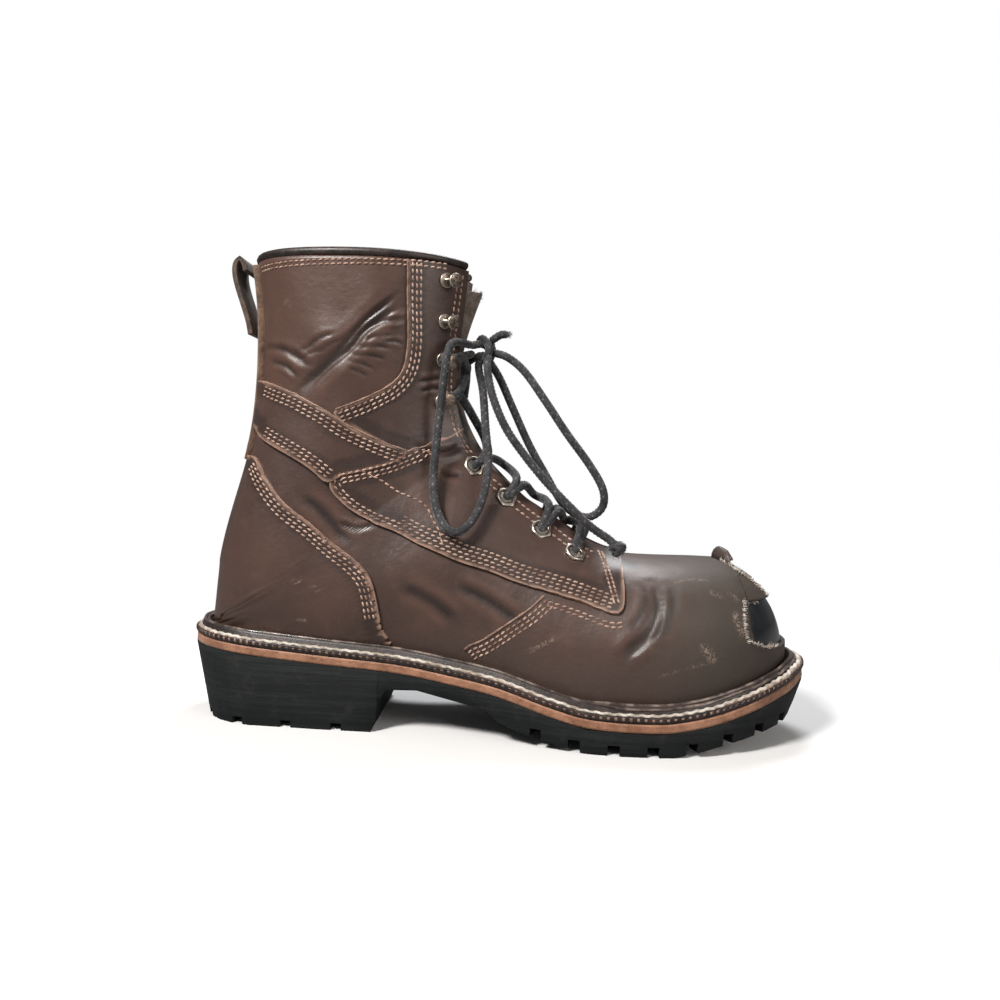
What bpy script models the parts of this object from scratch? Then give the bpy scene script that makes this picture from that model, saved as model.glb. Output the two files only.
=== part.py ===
"""A worn leather logger boot for the right foot: hollow upper, welted sole with a high heel,
laced through six-sided eyelets and hooks. +X runs from heel to toe, +Y to the inner side, +Z up,
and the origin is on the floor under the middle of the heel."""
import math

import bpy
import bmesh
import numpy as np
from mathutils import Matrix, Vector

MM = 0.001

# Sizes of the sole
SOLE_LENGTH = 318 * MM
BALL_WIDTH = 108 * MM
HEEL_WIDTH = 75 * MM
HEEL_HEIGHT = 34.3 * MM
FOREPART_HEIGHT = 11.2 * MM
TOE_LIFT = 12 * MM
ROCKER = 9 * MM
HEEL_CENTRE = 50 * MM
MIDSOLE_THICK = 4.4 * MM
WELT_THICK = 3 * MM
BEAD_HEIGHT = 4 * MM
BEAD_WIDTH = 3 * MM
BEAD_LEAN_HEEL = 3.4 * MM
BEAD_LEAN_TOE = 2.1 * MM
HEEL_TAPER = 7 * MM
TOE_TAPER = 5 * MM
SIDE_TAPER = 1.5 * MM
LUG_DEPTH = 5 * MM
LUG_PITCH = 18 * MM
LUG_GAP = 5.5 * MM
LUG_REACH = 16 * MM
CHANNEL = 4.5 * MM
CHANNEL_START = 0.53
BAR_PITCH = 23.4 * MM
BAR_START = 0.56
BARS = 4

# Sizes of the upper and what is sewn to it
UPPER_RISE = 190.6 * MM
SHAFT_WIDTH = 78 * MM
LEATHER = 2 * MM
OVERLAY = 1.4 * MM
THROAT_HALF = 10.5 * MM
COLLAR_SPREAD = 3.5 * MM
UPPER_INSET = 8.8 * MM
INSOLE_THICK = 4 * MM
INSOLE_CLEAR = 1.4 * MM
CAP_THICK = 1.8 * MM
TONGUE_THICK = 2.2 * MM
TONGUE_LEAN = 10 * MM
TONGUE_FREE = 45 * MM

# Sizes of the metal, laces and trim
HOOK_BASE = 4 * MM
HOOK_STEM = 1.6 * MM
HOOK_HEAD = 3.8 * MM
HOOK_RISE = 6.2 * MM
HOOK_LEAN = 2.5 * MM
EYELET_RADIUS = 5.4 * MM
EYELET_HOLE = 2.6 * MM
EYELET_THICK = 1 * MM
LACE_RADIUS = 2.1 * MM
BINDING_RADIUS = 1.9 * MM
STRAP_WIDTH = 22 * MM
LOOP_WIDTH = 20 * MM
LOOP_THICK = 2.5 * MM

GAP = 0.3 * MM
LACE_LIFT = OVERLAY + EYELET_THICK + 8 * GAP + LACE_RADIUS
DRILL_REACH = 12 * MM
EDGE_STEP = 4 * MM

# Plan of the sole: station and centre line as shares of length and ball width, and the half width
# as shares of half the heel width and of half the ball width
PLAN = np.array([
    # station, centre, heel, ball
    (0.00, 0.000, 0.000, 0.000),
    (0.02, 0.000, 0.533, 0.000),
    (0.06, 0.000, 0.827, 0.000),
    (0.12, 0.000, 0.985, 0.000),
    (0.25, -0.009, 1.000, 0.000),
    (0.36, -0.032, 0.900, 0.033),
    (0.46, -0.051, 0.550, 0.313),
    (0.56, -0.051, 0.200, 0.685),
    (0.66, -0.037, 0.000, 0.954),
    (0.73, -0.023, 0.000, 1.000),
    (0.80, -0.005, 0.000, 0.981),
    (0.88, 0.023, 0.000, 0.861),
    (0.94, 0.042, 0.000, 0.657),
    (0.98, 0.056, 0.000, 0.389),
    (1.00, 0.060, 0.000, 0.000),
])

# Top of the rubber: station, and height as shares of heel height, forepart height and toe lift
RUBBER_TOP = np.array([
    # station, heel, forepart, lift
    (0.00, 1.110, 0.00, 0.00),
    (0.08, 1.067, 0.00, 0.00),
    (0.17, 1.000, 0.00, 0.00),
    (0.28, 0.930, 0.00, 0.00),
    (0.36, 0.770, 0.32, 0.00),
    (0.44, 0.560, 0.65, 0.00),
    (0.52, 0.350, 0.91, 0.00),
    (0.59, 0.140, 1.00, 0.00),
    (0.66, 0.012, 1.00, 0.00),
    (0.74, 0.000, 1.00, 0.02),
    (0.82, 0.000, 1.02, 0.28),
    (0.88, 0.000, 1.10, 0.60),
    (0.94, 0.000, 1.38, 0.80),
    (1.00, 0.000, 1.60, 1.05),
])

# Underside: station, and height as shares of heel height, rocker and toe lift
UNDERSIDE = np.array([
    # station, heel, rocker, lift
    (0.000, 0.00, 0.00, 0.00),
    (0.316, 0.00, 0.00, 0.00),
    (0.323, 0.15, 0.00, 0.00),
    (0.327, 0.47, 0.00, 0.00),
    (0.340, 0.62, 0.00, 0.00),
    (0.387, 0.64, 0.00, 0.00),
    (0.434, 0.56, 0.00, 0.00),
    (0.494, 0.44, 0.00, 0.00),
    (0.503, 0.38, 0.00, 0.00),
    (0.510, 0.00, 1.20, 0.00),
    (0.522, 0.00, 0.99, 0.00),
    (0.569, 0.00, 0.48, 0.00),
    (0.616, 0.00, 0.18, 0.00),
    (0.645, 0.00, 0.00, 0.00),
    (0.770, 0.00, 0.00, 0.00),
    (0.792, 0.00, 0.00, 0.12),
    (0.818, 0.00, 0.00, 0.27),
    (0.868, 0.00, 0.00, 0.55),
    (0.909, 0.00, 0.00, 0.77),
    (0.959, 0.00, 0.00, 0.98),
    (1.000, 0.00, 0.00, 1.12),
])

# Sections of the upper, from the toe tip over the instep to the collar. Each is a plane through
# a low point, on the sole's edge or the back line, and a ridge point. Stations are shares of the
# upper's length, rises are shares of UPPER_RISE above the sole's edge there. Half width is foot
# times the sole's edge plus own times half the shaft width.
SECTIONS = np.array([
    # low, low rise, ridge, ridge rise, foot, own, widest, round, centre
    (1.0000, 0.000, 1.0000, 0.046, 1, 0.000, 0.45, 2.20, 0.060),
    (0.9973, 0.000, 0.9980, 0.076, 1, 0.020, 0.45, 2.25, 0.061),
    (0.9890, 0.000, 0.9910, 0.113, 1, 0.038, 0.44, 2.30, 0.062),
    (0.9740, 0.000, 0.9780, 0.171, 1, 0.056, 0.43, 2.35, 0.062),
    (0.9530, 0.000, 0.9560, 0.226, 1, 0.072, 0.42, 2.40, 0.060),
    (0.9230, 0.000, 0.9260, 0.282, 1, 0.082, 0.41, 2.40, 0.058),
    (0.8790, 0.000, 0.8840, 0.325, 1, 0.090, 0.40, 2.40, 0.055),
    (0.7800, 0.000, 0.7860, 0.358, 1, 0.090, 0.38, 2.30, 0.046),
    (0.6530, 0.000, 0.6930, 0.369, 1, 0.090, 0.38, 2.05, 0.028),
    (0.5000, 0.000, 0.6100, 0.434, 1, 0.150, 0.42, 1.90, 0.014),
    (0.3200, 0.000, 0.5416, 0.491, 1, 0.200, 0.42, 1.85, 0.005),
    (0.1400, 0.000, 0.4980, 0.545, 0, 0.885, 0.35, 1.85, 0.000),
    (0.0310, 0.000, 0.4790, 0.578, 0, 0.880, 0.33, 1.90, 0.000),
    (0.0000, 0.000, 0.4700, 0.598, 0, 0.877, 0.32, 1.90, 0.000),
    (0.0090, 0.175, 0.4480, 0.665, 0, 0.859, 0.33, 1.95, 0.000),
    (0.0356, 0.348, 0.4367, 0.757, 0, 0.859, 0.40, 2.00, 0.000),
    (0.0622, 0.516, 0.4377, 0.846, 0, 0.885, 0.48, 2.05, 0.000),
    (0.0739, 0.673, 0.4424, 0.931, 0, 0.923, 0.50, 2.10, 0.000),
    (0.0756, 0.846, 0.4467, 1.000, 0, 0.960, 0.50, 2.20, 0.000),
    (0.0639, 1.000, 0.4500, 1.037, 0, 0.995, 0.50, 2.25, 0.000),
])
THROAT_ROW = 8.0
THROAT_ROUND = 0.8
COLLAR_ROW = 14
BACK_ROUND = 2.25
LOW_STEPS = 3
HIGH_STEPS = 5
MIDDLE_STEPS = 2
ROWS = ((0, 0.5, 1, 2, 3, 4, 5, 6, 6.5, 7, 7.5, 8, 8.12, 8.45, 8.75) + tuple(np.arange(18, 24) / 2)
        + (12, 12.5, 13, 13.5) + tuple(np.arange(14, 19.1, 0.625)))

# Torn place at the toe: the cutter's outline on the outer side and on the inner side, as shares of
# the upper's length and rise above the floor as shares of the toe's height
TOE_HEIGHT = 90 * MM
TEAR = np.array([
    # outer station, outer height, inner station, inner height
    (0.934, 0.80, 0.840, 1.08),
    (0.934, 0.60, 0.835, 0.80),
    (0.936, 0.547, 0.860, 0.62),
    (0.957, 0.50, 0.930, 0.56),
    (1.030, 0.490, 1.030, 0.54),
    (1.030, 0.88, 1.030, 1.08),
    (0.975, 0.83, 0.950, 1.08),
])
TEAR_REACH = 60 * MM

# Outlines of the pieces sewn to the upper, seen from the side: station as a share of the upper's
# length and height as a share of the shaft's top
FACING = (
    (0.350, 1.020), (0.350, 0.815), (0.343, 0.762), (0.323, 0.728), (0.283, 0.698), (0.236, 0.672),
    (0.256, 0.650), (0.288, 0.630), (0.325, 0.609), (0.352, 0.601), (0.403, 0.621), (0.500, 0.662),
    (0.500, 1.020),
)
ANKLE_BAND = (
    (-0.020, 0.742), (0.078, 0.738), (0.113, 0.731), (0.171, 0.701), (0.223, 0.667), (0.252, 0.643),
    (0.286, 0.622), (0.323, 0.601), (0.343, 0.592), (0.323, 0.579), (0.283, 0.564), (0.241, 0.552),
    (0.225, 0.541), (0.219, 0.520), (0.201, 0.540), (0.174, 0.563), (0.108, 0.607), (0.078, 0.641),
    (-0.020, 0.675),
)
EYESTAY = (
    (0.242, 0.546), (0.229, 0.530), (0.229, 0.508), (0.243, 0.483), (0.264, 0.461), (0.300, 0.436),
    (0.337, 0.419), (0.374, 0.396), (0.410, 0.378), (0.446, 0.360), (0.492, 0.343), (0.541, 0.321),
    (0.589, 0.306), (0.640, 0.288), (0.702, 0.268), (0.708, 0.330), (0.706, 0.480), (0.500, 0.650),
    (0.403, 0.613), (0.363, 0.595), (0.323, 0.572), (0.283, 0.558),
)
COUNTER = (
    (-0.060, 0.575), (0.070, 0.572), (0.096, 0.564), (0.114, 0.530), (0.151, 0.474), (0.192, 0.436),
    (0.236, 0.390), (0.272, 0.358), (0.299, 0.323), (0.310, 0.280), (0.318, 0.225),
)

# Hooks and eyelets from the top down: row of SECTIONS, and distance behind the lace edge in millimetres
HOOKS = ((18.15, 15.5), (16.8, 13.5), (15.7, 11.5), (14.6, 10.5))
EYELETS = ((11.4, 6.5), (10.1, 9.5), (9.25, 13), (8.62, 17))

# The pull loop's middle line: distance behind the back line and height, from the collar down
PULL_LOOP = np.array([
    # behind, below the collar's rim
    (3.6, 3), (4.4, -1.6), (6.6, -3.6), (9, -2), (9.9, 3), (9.4, 10), (8, 17), (6, 25), (4.4, 31), (3.6, 36),
]) * MM

# Routes of the bow, in millimetres from the boot's origin, chosen by hand
KNOT = (98, -2, 193)
KNOT_SIZE = (6.5, 8, 7)
KNOT_LEG = (-2.69, 6.91, -3.18)
BOW_OUTER = (
    (94.5, -10.2, 194), (86.5, -24, 193.5), (84, -29.3, 187), (82.5, -29.5, 175), (81, -29, 160),
    (79.5, -28.5, 145), (78.5, -30, 128), (80, -34, 113), (85, -38.5, 103), (91, -39.5, 100),
    (98, -36, 105), (103.5, -30, 118), (105, -24.5, 134), (103, -19, 152), (101, -13, 170),
    (98.5, -8.5, 181), (98, -6.5, 186.5),
)
BOW_INNER = (
    (104.9, -3.8, 191.3), (113, -6, 188.5), (122, -7, 181), (133, -8, 166), (144, -8.5, 150),
    (156, -9, 134), (163, -8.5, 122), (163.5, -7, 113), (158, -5, 107.5), (151, -3.5, 108),
    (143, -2, 114), (134, -1, 128.5), (125, -1, 144), (116, -1, 163), (109, -1.5, 178),
    (102.8, -2, 187.6),
)
FREE_END = (
    (103.2, -8.6, 188.6), (103, -14, 182), (106, -19, 168), (113, -20.5, 152), (123, -21, 138),
    (135, -21, 124), (147, -21.5, 112), (157, -22, 103), (166, -23, 97), (172, -25, 91),
)
SHORT_END = ((103.8, -3.8, 196.9), (109, -6, 200), (113, -7.5, 200))


def smooth(x, xs, ys):
    """Read a table's column at x with a monotone cubic, so that no bump grows between its rows."""
    step = np.diff(xs)
    slope = np.diff(ys) / step
    tangent = np.concatenate(([slope[0]], np.zeros(len(xs) - 2), [slope[-1]]))
    for i in range(1, len(xs) - 1):
        if slope[i - 1] * slope[i] > 0:
            a, b = 2 * step[i] + step[i - 1], step[i] + 2 * step[i - 1]
            tangent[i] = (a + b) / (a / slope[i - 1] + b / slope[i])
    i = np.clip(np.searchsorted(xs, x) - 1, 0, len(step) - 1)
    t = (x - xs[i]) / step[i]
    low = (2 * t ** 3 - 3 * t ** 2 + 1) * ys[i] + (t ** 3 - 2 * t ** 2 + t) * step[i] * tangent[i]
    high = (3 * t ** 2 - 2 * t ** 3) * ys[i + 1] + (t ** 3 - t ** 2) * step[i] * tangent[i + 1]
    return low + high


# The sole
def station_x(share):
    return share * SOLE_LENGTH - HEEL_CENTRE


def rubber_top(x):
    share = np.clip((x + HEEL_CENTRE) / SOLE_LENGTH, 0, 1)
    sizes = (HEEL_HEIGHT, FOREPART_HEIGHT, TOE_LIFT)
    return smooth(share, RUBBER_TOP[:, 0], RUBBER_TOP[:, 1:] @ np.array(sizes))


def underside(share):
    sizes = (HEEL_HEIGHT, ROCKER, TOE_LIFT)
    return np.interp(share, UNDERSIDE[:, 0], UNDERSIDE[:, 1:] @ np.array(sizes))


def sole_stations():
    """Close together at both round ends, with one at each break of the underside."""
    even = 0.5 * (1 - np.cos(np.linspace(0, math.pi, 28)))
    breaks = UNDERSIDE[1:-1, 0]
    far = [s for s in even if np.min(np.abs(breaks - s)) > 0.012 or s in (0, 1)]
    return np.sort(np.concatenate((far, breaks)))


STATIONS = sole_stations()


def outline(inset):
    """Outer side from heel to toe, then inner side back: an x, y loop set in from the sole's edge."""
    x = station_x(STATIONS)
    centre = smooth(STATIONS, PLAN[:, 0], PLAN[:, 1]) * BALL_WIDTH
    half = (PLAN[:, 2] * HEEL_WIDTH + PLAN[:, 3] * BALL_WIDTH) / 2
    half = np.sqrt(np.maximum(smooth(STATIONS, PLAN[:, 0], half ** 2), 0))
    outer = np.stack((x, centre - half), axis=1)
    inner = np.stack((x, centre + half), axis=1)[1:-1][::-1]
    loop = np.concatenate((outer, inner))
    along = np.roll(loop, -1, axis=0) - np.roll(loop, 1, axis=0)
    along /= np.linalg.norm(along, axis=1)[:, None]
    inward = np.stack((-along[:, 1], along[:, 0]), axis=1)
    return loop + np.broadcast_to(inset, len(loop))[:, None] * inward


def partner(k):
    """The loop's point across the sole from point k of the outer side."""
    count = 2 * (len(STATIONS) - 1)
    return (count - k) % count


def feather_height(x):
    """Where the upper's lower edge sits, on the welt."""
    return rubber_top(x) + MIDSOLE_THICK + WELT_THICK + GAP


# Objects and materials
def clear_scene():
    for old in list(bpy.data.objects):
        bpy.data.objects.remove(old, do_unlink=True)


def collection(name):
    found = bpy.data.collections.get(name) or bpy.data.collections.new(name)
    if name not in bpy.context.scene.collection.children:
        bpy.context.scene.collection.children.link(found)
    return found


def material(name, colour, roughness, metallic=0.0):
    made = bpy.data.materials.new(name)
    made.use_nodes = True
    shader = made.node_tree.nodes["Principled BSDF"]
    shader.inputs["Base Color"].default_value = (*colour, 1)
    shader.inputs["Roughness"].default_value = roughness
    shader.inputs["Metallic"].default_value = metallic
    return made


def new_object(name, bm, finish=None, angle=35):
    bmesh.ops.recalc_face_normals(bm, faces=bm.faces)
    mesh = bpy.data.meshes.new(name)
    bm.to_mesh(mesh)
    bm.free()
    made = bpy.data.objects.new(name, mesh)
    if finish is None:
        collection("cutters").objects.link(made)
        made.hide_render = True
        made.display_type = "WIRE"
    else:
        collection("logger_boot").objects.link(made)
        mesh.materials.append(finish)
        mesh.shade_smooth()
        mesh.set_sharp_from_angle(angle=math.radians(angle))
    return made


def cut(piece, cutter, operation="DIFFERENCE"):
    boolean = piece.modifiers.new(operation.lower(), "BOOLEAN")
    boolean.operation = operation
    boolean.solver = "EXACT"
    boolean.object = cutter


def closed_loop(bm, rings):
    """Faces between closed rings of points, each joined to the next."""
    made = [[bm.verts.new(point) for point in ring] for ring in rings]
    for low, high in zip(made, made[1:]):
        for k in range(len(low)):
            after = (k + 1) % len(low)
            bm.faces.new((low[k], low[after], high[after], high[k]))
    return made


def cap_across(bm, ring):
    """Close a sole-shaped ring with faces from its outer side to its inner side."""
    last = len(STATIONS) - 1
    for k in range(last):
        corners = [ring[k], ring[k + 1]]
        for other in (partner(k + 1), partner(k)):
            if ring[other] not in corners:
                corners.append(ring[other])
        bm.faces.new(corners)


def loop_shares():
    """The station of each point of an outline."""
    return np.concatenate((STATIONS, STATIONS[1:-1][::-1]))


def levelled(loop, height):
    return [(x, y, height(x)) for x, y in loop]


def plate(name, inset, low, high, finish):
    bm = bmesh.new()
    loop = outline(inset)
    made = closed_loop(bm, (levelled(loop, low), levelled(loop, high)))
    cap_across(bm, made[0])
    cap_across(bm, made[1])
    return new_object(name, bm, finish)


def make_outsole(finish):
    bm = bmesh.new()
    top = levelled(outline(0), lambda x: rubber_top(x) - GAP)
    edge = outline(SIDE_TAPER)
    count = len(STATIONS)
    share = loop_shares()
    at_heel, at_toe = np.clip(1 - share / 0.2, 0, 1), np.clip(share / 0.1 - 9, 0, 1)
    forward = HEEL_TAPER * at_heel ** 2 - TOE_TAPER * at_toe ** 2
    bottom = [(edge[k][0] + forward[k], edge[k][1], underside(share[k])) for k in range(2 * count - 2)]
    made = closed_loop(bm, (bottom, top))
    cap_across(bm, made[0])
    cap_across(bm, made[1])
    outsole = new_object("outsole", bm, finish, angle=20)
    cut(outsole, make_channel())
    cut(outsole, make_grooves())
    return outsole


def tread_level(x):
    return underside(np.clip((x + HEEL_CENTRE) / SOLE_LENGTH, 0, 1)) + LUG_DEPTH


def make_channel():
    """The groove between the edge lugs and the middle lugs, round the forepart."""
    outer, inner = outline(LUG_REACH - CHANNEL), outline(LUG_REACH)
    first = int(np.searchsorted(STATIONS, CHANNEL_START))
    kept = range(first, partner(first) + 1)
    bm = bmesh.new()
    rings = []
    for k in kept:
        roof = max(tread_level(outer[k][0]), tread_level(inner[k][0]))
        rings.append([(*outer[k], -LUG_DEPTH), (*outer[k], roof), (*inner[k], roof), (*inner[k], -LUG_DEPTH)])
    made = closed_loop(bm, rings)
    bm.faces.new(made[0])
    bm.faces.new(made[-1])
    return new_object("channel_cutter", bm)


def block(bm, centre, size, turn=0.0):
    place = Matrix.Translation(centre) @ Matrix.Rotation(turn, 4, "Z") @ Matrix.Diagonal((*size, 1))
    bmesh.ops.create_cube(bm, size=1, matrix=place)


def make_grooves():
    """Gaps between the lugs: square to the edge round forepart and heel, straight across the middle."""
    bm = bmesh.new()
    edge = outline(0)
    steps = np.linalg.norm(np.roll(edge, -1, axis=0) - edge, axis=1)
    run = np.concatenate(([0], np.cumsum(steps)))[:-1]
    total = steps.sum()

    def groove(distance, reach, depth):
        around = distance % total
        x = np.interp(around, np.append(run, total), np.append(edge[:, 0], edge[0, 0]))
        y = np.interp(around, np.append(run, total), np.append(edge[:, 1], edge[0, 1]))
        ahead = (around + 2 * MM) % total
        dx = np.interp(ahead, np.append(run, total), np.append(edge[:, 0], edge[0, 0])) - x
        dy = np.interp(ahead, np.append(run, total), np.append(edge[:, 1], edge[0, 1])) - y
        inward = math.atan2(dx, -dy)
        middle = (reach - LUG_GAP) / 2
        centre_x, centre_y = x + middle * math.cos(inward), y + middle * math.sin(inward)
        roof = tread_level(x) - LUG_DEPTH + depth
        size = (reach + LUG_GAP, LUG_GAP, roof + LUG_DEPTH)
        block(bm, (centre_x, centre_y, (roof - LUG_DEPTH) / 2), size, inward)

    first = run[int(np.searchsorted(STATIONS, 0.535))]
    last = run[partner(int(np.searchsorted(STATIONS, 0.535)))]
    lugs = int(round((last - first) / LUG_PITCH))
    for i in range(lugs + 1):
        groove(first + (last - first) * i / lugs, LUG_REACH - CHANNEL / 2, LUG_DEPTH)
    heel_edge = run[int(np.searchsorted(STATIONS, 0.3))]
    notches = int(heel_edge * 2 / (LUG_PITCH * 1.4))
    for i in range(notches):
        groove(-heel_edge + heel_edge * 2 * (i + 0.5) / notches, LUG_REACH * 0.6, LUG_DEPTH * 0.7)
    for i in range(BARS):
        x = station_x(BAR_START) + i * BAR_PITCH
        inner = outline(LUG_REACH - CHANNEL / 4)
        half = len(STATIONS)
        low = np.interp(x, inner[:half, 0], inner[:half, 1])
        high = np.interp(x, inner[half:, 0][::-1], inner[half:, 1][::-1])
        roof = tread_level(x)
        block(bm, (x, (low + high) / 2, (roof - LUG_DEPTH) / 2), (LUG_GAP, high - low, roof + LUG_DEPTH))
    return new_object("groove_cutter", bm)


def make_welt(finish):
    """A flat storm welt with its bead turned up against the upper."""
    foot = UPPER_INSET - 2 * GAP
    lean = np.interp(loop_shares(), (0.6, 0.7), (BEAD_LEAN_HEEL, BEAD_LEAN_TOE))
    crest = foot - lean
    inner = foot + LEATHER + 0.4 * MM
    profile = (
        # inset, height
        (0, 0),
        (0, WELT_THICK),
        (crest - BEAD_WIDTH, WELT_THICK),
        (crest - BEAD_WIDTH / 2, WELT_THICK + BEAD_HEIGHT * 0.9),
        (crest, WELT_THICK + BEAD_HEIGHT),
        (foot, WELT_THICK),
        (inner, WELT_THICK),
        (inner, 0),
    )
    rings = []
    for inset, height in profile:
        loop = outline(inset)
        rings.append([(x, y, rubber_top(x) + MIDSOLE_THICK + height) for x, y in loop])
    bm = bmesh.new()
    made = closed_loop(bm, rings)
    first, last = made[0], made[-1]
    for k in range(len(first)):
        after = (k + 1) % len(first)
        bm.faces.new((last[k], last[after], first[after], first[k]))
    return new_object("welt", bm, finish)


# The upper
class Last:
    """The outer surface of the upper, as a function of a section and an angle round it."""

    def __init__(self):
        edge = outline(UPPER_INSET)
        half = len(STATIONS)
        self.outer, self.inner = edge[:half], np.concatenate((edge[half - 1:], edge[:1]))[::-1]
        self.rear, self.toe = edge[0][0], edge[half - 1][0]

    def column(self, row, name):
        names = ("low", "low_rise", "ridge", "ridge_rise", "foot", "own", "widest", "round", "centre")
        return float(smooth(row, np.arange(len(SECTIONS)), SECTIONS[:, names.index(name)]))

    def section(self, row):
        low_x = self.rear + self.column(row, "low") * (self.toe - self.rear)
        ridge_x = self.rear + self.column(row, "ridge") * (self.toe - self.rear)
        low_z = feather_height(low_x) + self.column(row, "low_rise") * UPPER_RISE
        ridge_z = feather_height(ridge_x) + self.column(row, "ridge_rise") * UPPER_RISE
        right = np.interp(low_x, self.outer[:, 0], self.outer[:, 1])
        left = np.interp(low_x, self.inner[:, 0], self.inner[:, 1])
        on_edge = self.column(row, "low_rise") < 1e-6
        edge = (left - right) / 2 if on_edge else 0.0
        width = self.column(row, "foot") * edge + self.column(row, "own") * SHAFT_WIDTH / 2
        return {
            "low": np.array((low_x, low_z)), "ridge": np.array((ridge_x, ridge_z)),
            "edge": edge, "width": max(width, edge * 1.001), "low_y": (left + right) / 2 if on_edge else 0.0,
            "ridge_y": self.column(row, "centre") * BALL_WIDTH,
            "widest": self.column(row, "widest"), "round": self.column(row, "round"),
        }

    def back_line(self, z):
        """How far back the shaft's back line is at height z."""
        lows = [self.section(row)["low"] for row in np.linspace(13, len(SECTIONS) - 1, 25)]
        return float(np.interp(z, [low[1] for low in lows], [low[0] for low in lows]))

    def throat(self, row):
        """Half of the open gap between the two lace edges."""
        if row <= THROAT_ROW:
            return 0.0
        opening = math.sqrt(min((row - THROAT_ROW) / THROAT_ROUND, 1.0))
        collar = max(0.0, (row - COLLAR_ROW) / (len(SECTIONS) - 1 - COLLAR_ROW))
        return THROAT_HALF * opening + COLLAR_SPREAD * collar ** 1.5

    def angles(self, row, across):
        """Angles round a section: low edge to widest, to the lace edge, and on to the ridge."""
        part = self.section(row)
        bottom, top = -math.pi / 2, math.pi / 2
        if part["width"] > 1e-7:
            share = min(part["edge"] / part["width"], 1.0)
            bottom = -math.acos(share ** (BACK_ROUND / 2))
            lace = min(self.throat(row) / part["width"], 1.0)
            top = math.acos(lace ** (part["round"] / 2))
        low = np.linspace(bottom, 0, LOW_STEPS + 1)
        high = np.linspace(0, top, HIGH_STEPS + 1)[1:]
        middle = np.linspace(top, math.pi / 2, MIDDLE_STEPS + 1)[1:]
        return np.concatenate((low, high, middle)) if across else np.concatenate((low, high))

    def ring(self, row, side, across=False):
        """Points from the low edge to the lace edge, or across to the ridge; side is -1 or 1."""
        part = self.section(row)
        points = []
        angles = self.angles(row, across)
        for angle in angles:
            if angle < 0:
                power = 2 / BACK_ROUND
                reach = math.sin(-angles[0]) ** power
                along = part["widest"] * (1 - math.sin(-angle) ** power / reach)
            else:
                power = 2 / part["round"]
                along = part["widest"] + (1 - part["widest"]) * math.sin(angle) ** power
            if part["width"] < 1e-7:
                along = (angle - angles[0]) / (angles[-1] - angles[0])
            y = part["width"] * max(math.cos(angle), 0.0) ** power if part["width"] > 1e-7 else 0.0
            if abs(angle) > math.pi / 2 - 1e-6:
                y = 0.0
            x, z = part["low"] + (part["ridge"] - part["low"]) * along
            points.append((x, part["low_y"] + (part["ridge_y"] - part["low_y"]) * along + side * y, z))
        return points


LAST = Last()
LAST_ROW = len(SECTIONS) - 1


def sheet(rows, first=0, last=None, across=False, push=0.0):
    """One open surface of both sides, merged where they meet at the toe, ridge and back."""
    bm = bmesh.new()
    for side in (-1, 1):
        grid = [[bm.verts.new(p) for p in LAST.ring(row, side, across)[first:last]] for row in rows]
        for a, b in zip(grid, grid[1:]):
            for k in range(len(a) - 1):
                for corners in ((a[k], a[k + 1], b[k]), (a[k + 1], b[k + 1], b[k])):
                    bm.faces.new(corners if side < 0 else corners[::-1])
    bmesh.ops.remove_doubles(bm, verts=bm.verts, dist=0.00002)
    bmesh.ops.dissolve_degenerate(bm, dist=0.00002, edges=bm.edges)
    bmesh.ops.recalc_face_normals(bm, faces=bm.faces)
    outward = 0.0
    for face in bm.faces:
        centre = face.calc_center_median()
        outward += face.normal.dot(Vector((0, centre.y, centre.z - HEEL_HEIGHT)))
    if outward < 0:
        bmesh.ops.reverse_faces(bm, faces=bm.faces)
    bm.normal_update()
    if push:
        moves = [(v, v.normal.copy()) for v in bm.verts]
        for v, normal in moves:
            v.co += normal * push
    return bm


def shell(name, bm, thickness, outward, finish):
    """Give an open surface its wall, outward or inward."""
    mesh = bpy.data.meshes.new(name)
    bm.to_mesh(mesh)
    bm.free()
    made = bpy.data.objects.new(name, mesh)
    collection("logger_boot").objects.link(made)
    mesh.materials.append(finish)
    mesh.shade_smooth()
    mesh.set_sharp_from_angle(angle=math.radians(40))
    wall = made.modifiers.new("wall", "SOLIDIFY")
    wall.thickness = thickness
    wall.offset = 1 if outward else -1
    wall.use_quality_normals = True
    return made


def make_tear_cutter():
    length = LAST.toe - LAST.rear
    bm = bmesh.new()
    rings = []
    for reach, columns in ((-TEAR_REACH, (0, 1)), (TEAR_REACH, (2, 3))):
        across, up = columns
        rings.append([(LAST.rear + row[across] * length, reach, row[up] * TOE_HEIGHT) for row in TEAR])
    made = closed_loop(bm, rings)
    bm.faces.new(made[0])
    bm.faces.new(made[-1])
    bmesh.ops.triangulate(bm, faces=bm.faces)
    return new_object("tear_cutter", bm)


def make_upper(finish):
    upper = shell("upper", sheet(ROWS), LEATHER, False, finish)
    cut(upper, make_tear_cutter())
    return upper


def make_toe_cap(finish):
    rows = [row for row in ROWS if row <= 6.5 and row != 0.5]
    bm = sheet(rows, first=1, push=-(LEATHER + GAP))
    return shell("toe_cap", bm, CAP_THICK, False, finish)


def make_tongue(finish):
    """It follows the upper from under the vamp, and its free top leans out of the throat."""
    rows = [row for row in ROWS if 7.4 < row < 18.2]
    bm = sheet(rows, first=LOW_STEPS + HIGH_STEPS - 1, across=True, push=-(LEATHER + GAP))
    top = LAST.section(rows[-1])["ridge"][1]
    start = top - TONGUE_FREE
    for v in bm.verts:
        if v.co.z > start:
            across = max(0.0, 1 - (abs(v.co.y) / THROAT_HALF) ** 2)
            v.co.x += TONGUE_LEAN * across * ((v.co.z - start) / TONGUE_FREE) ** 1.5
    return shell("tongue", bm, TONGUE_THICK, False, finish)


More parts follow.
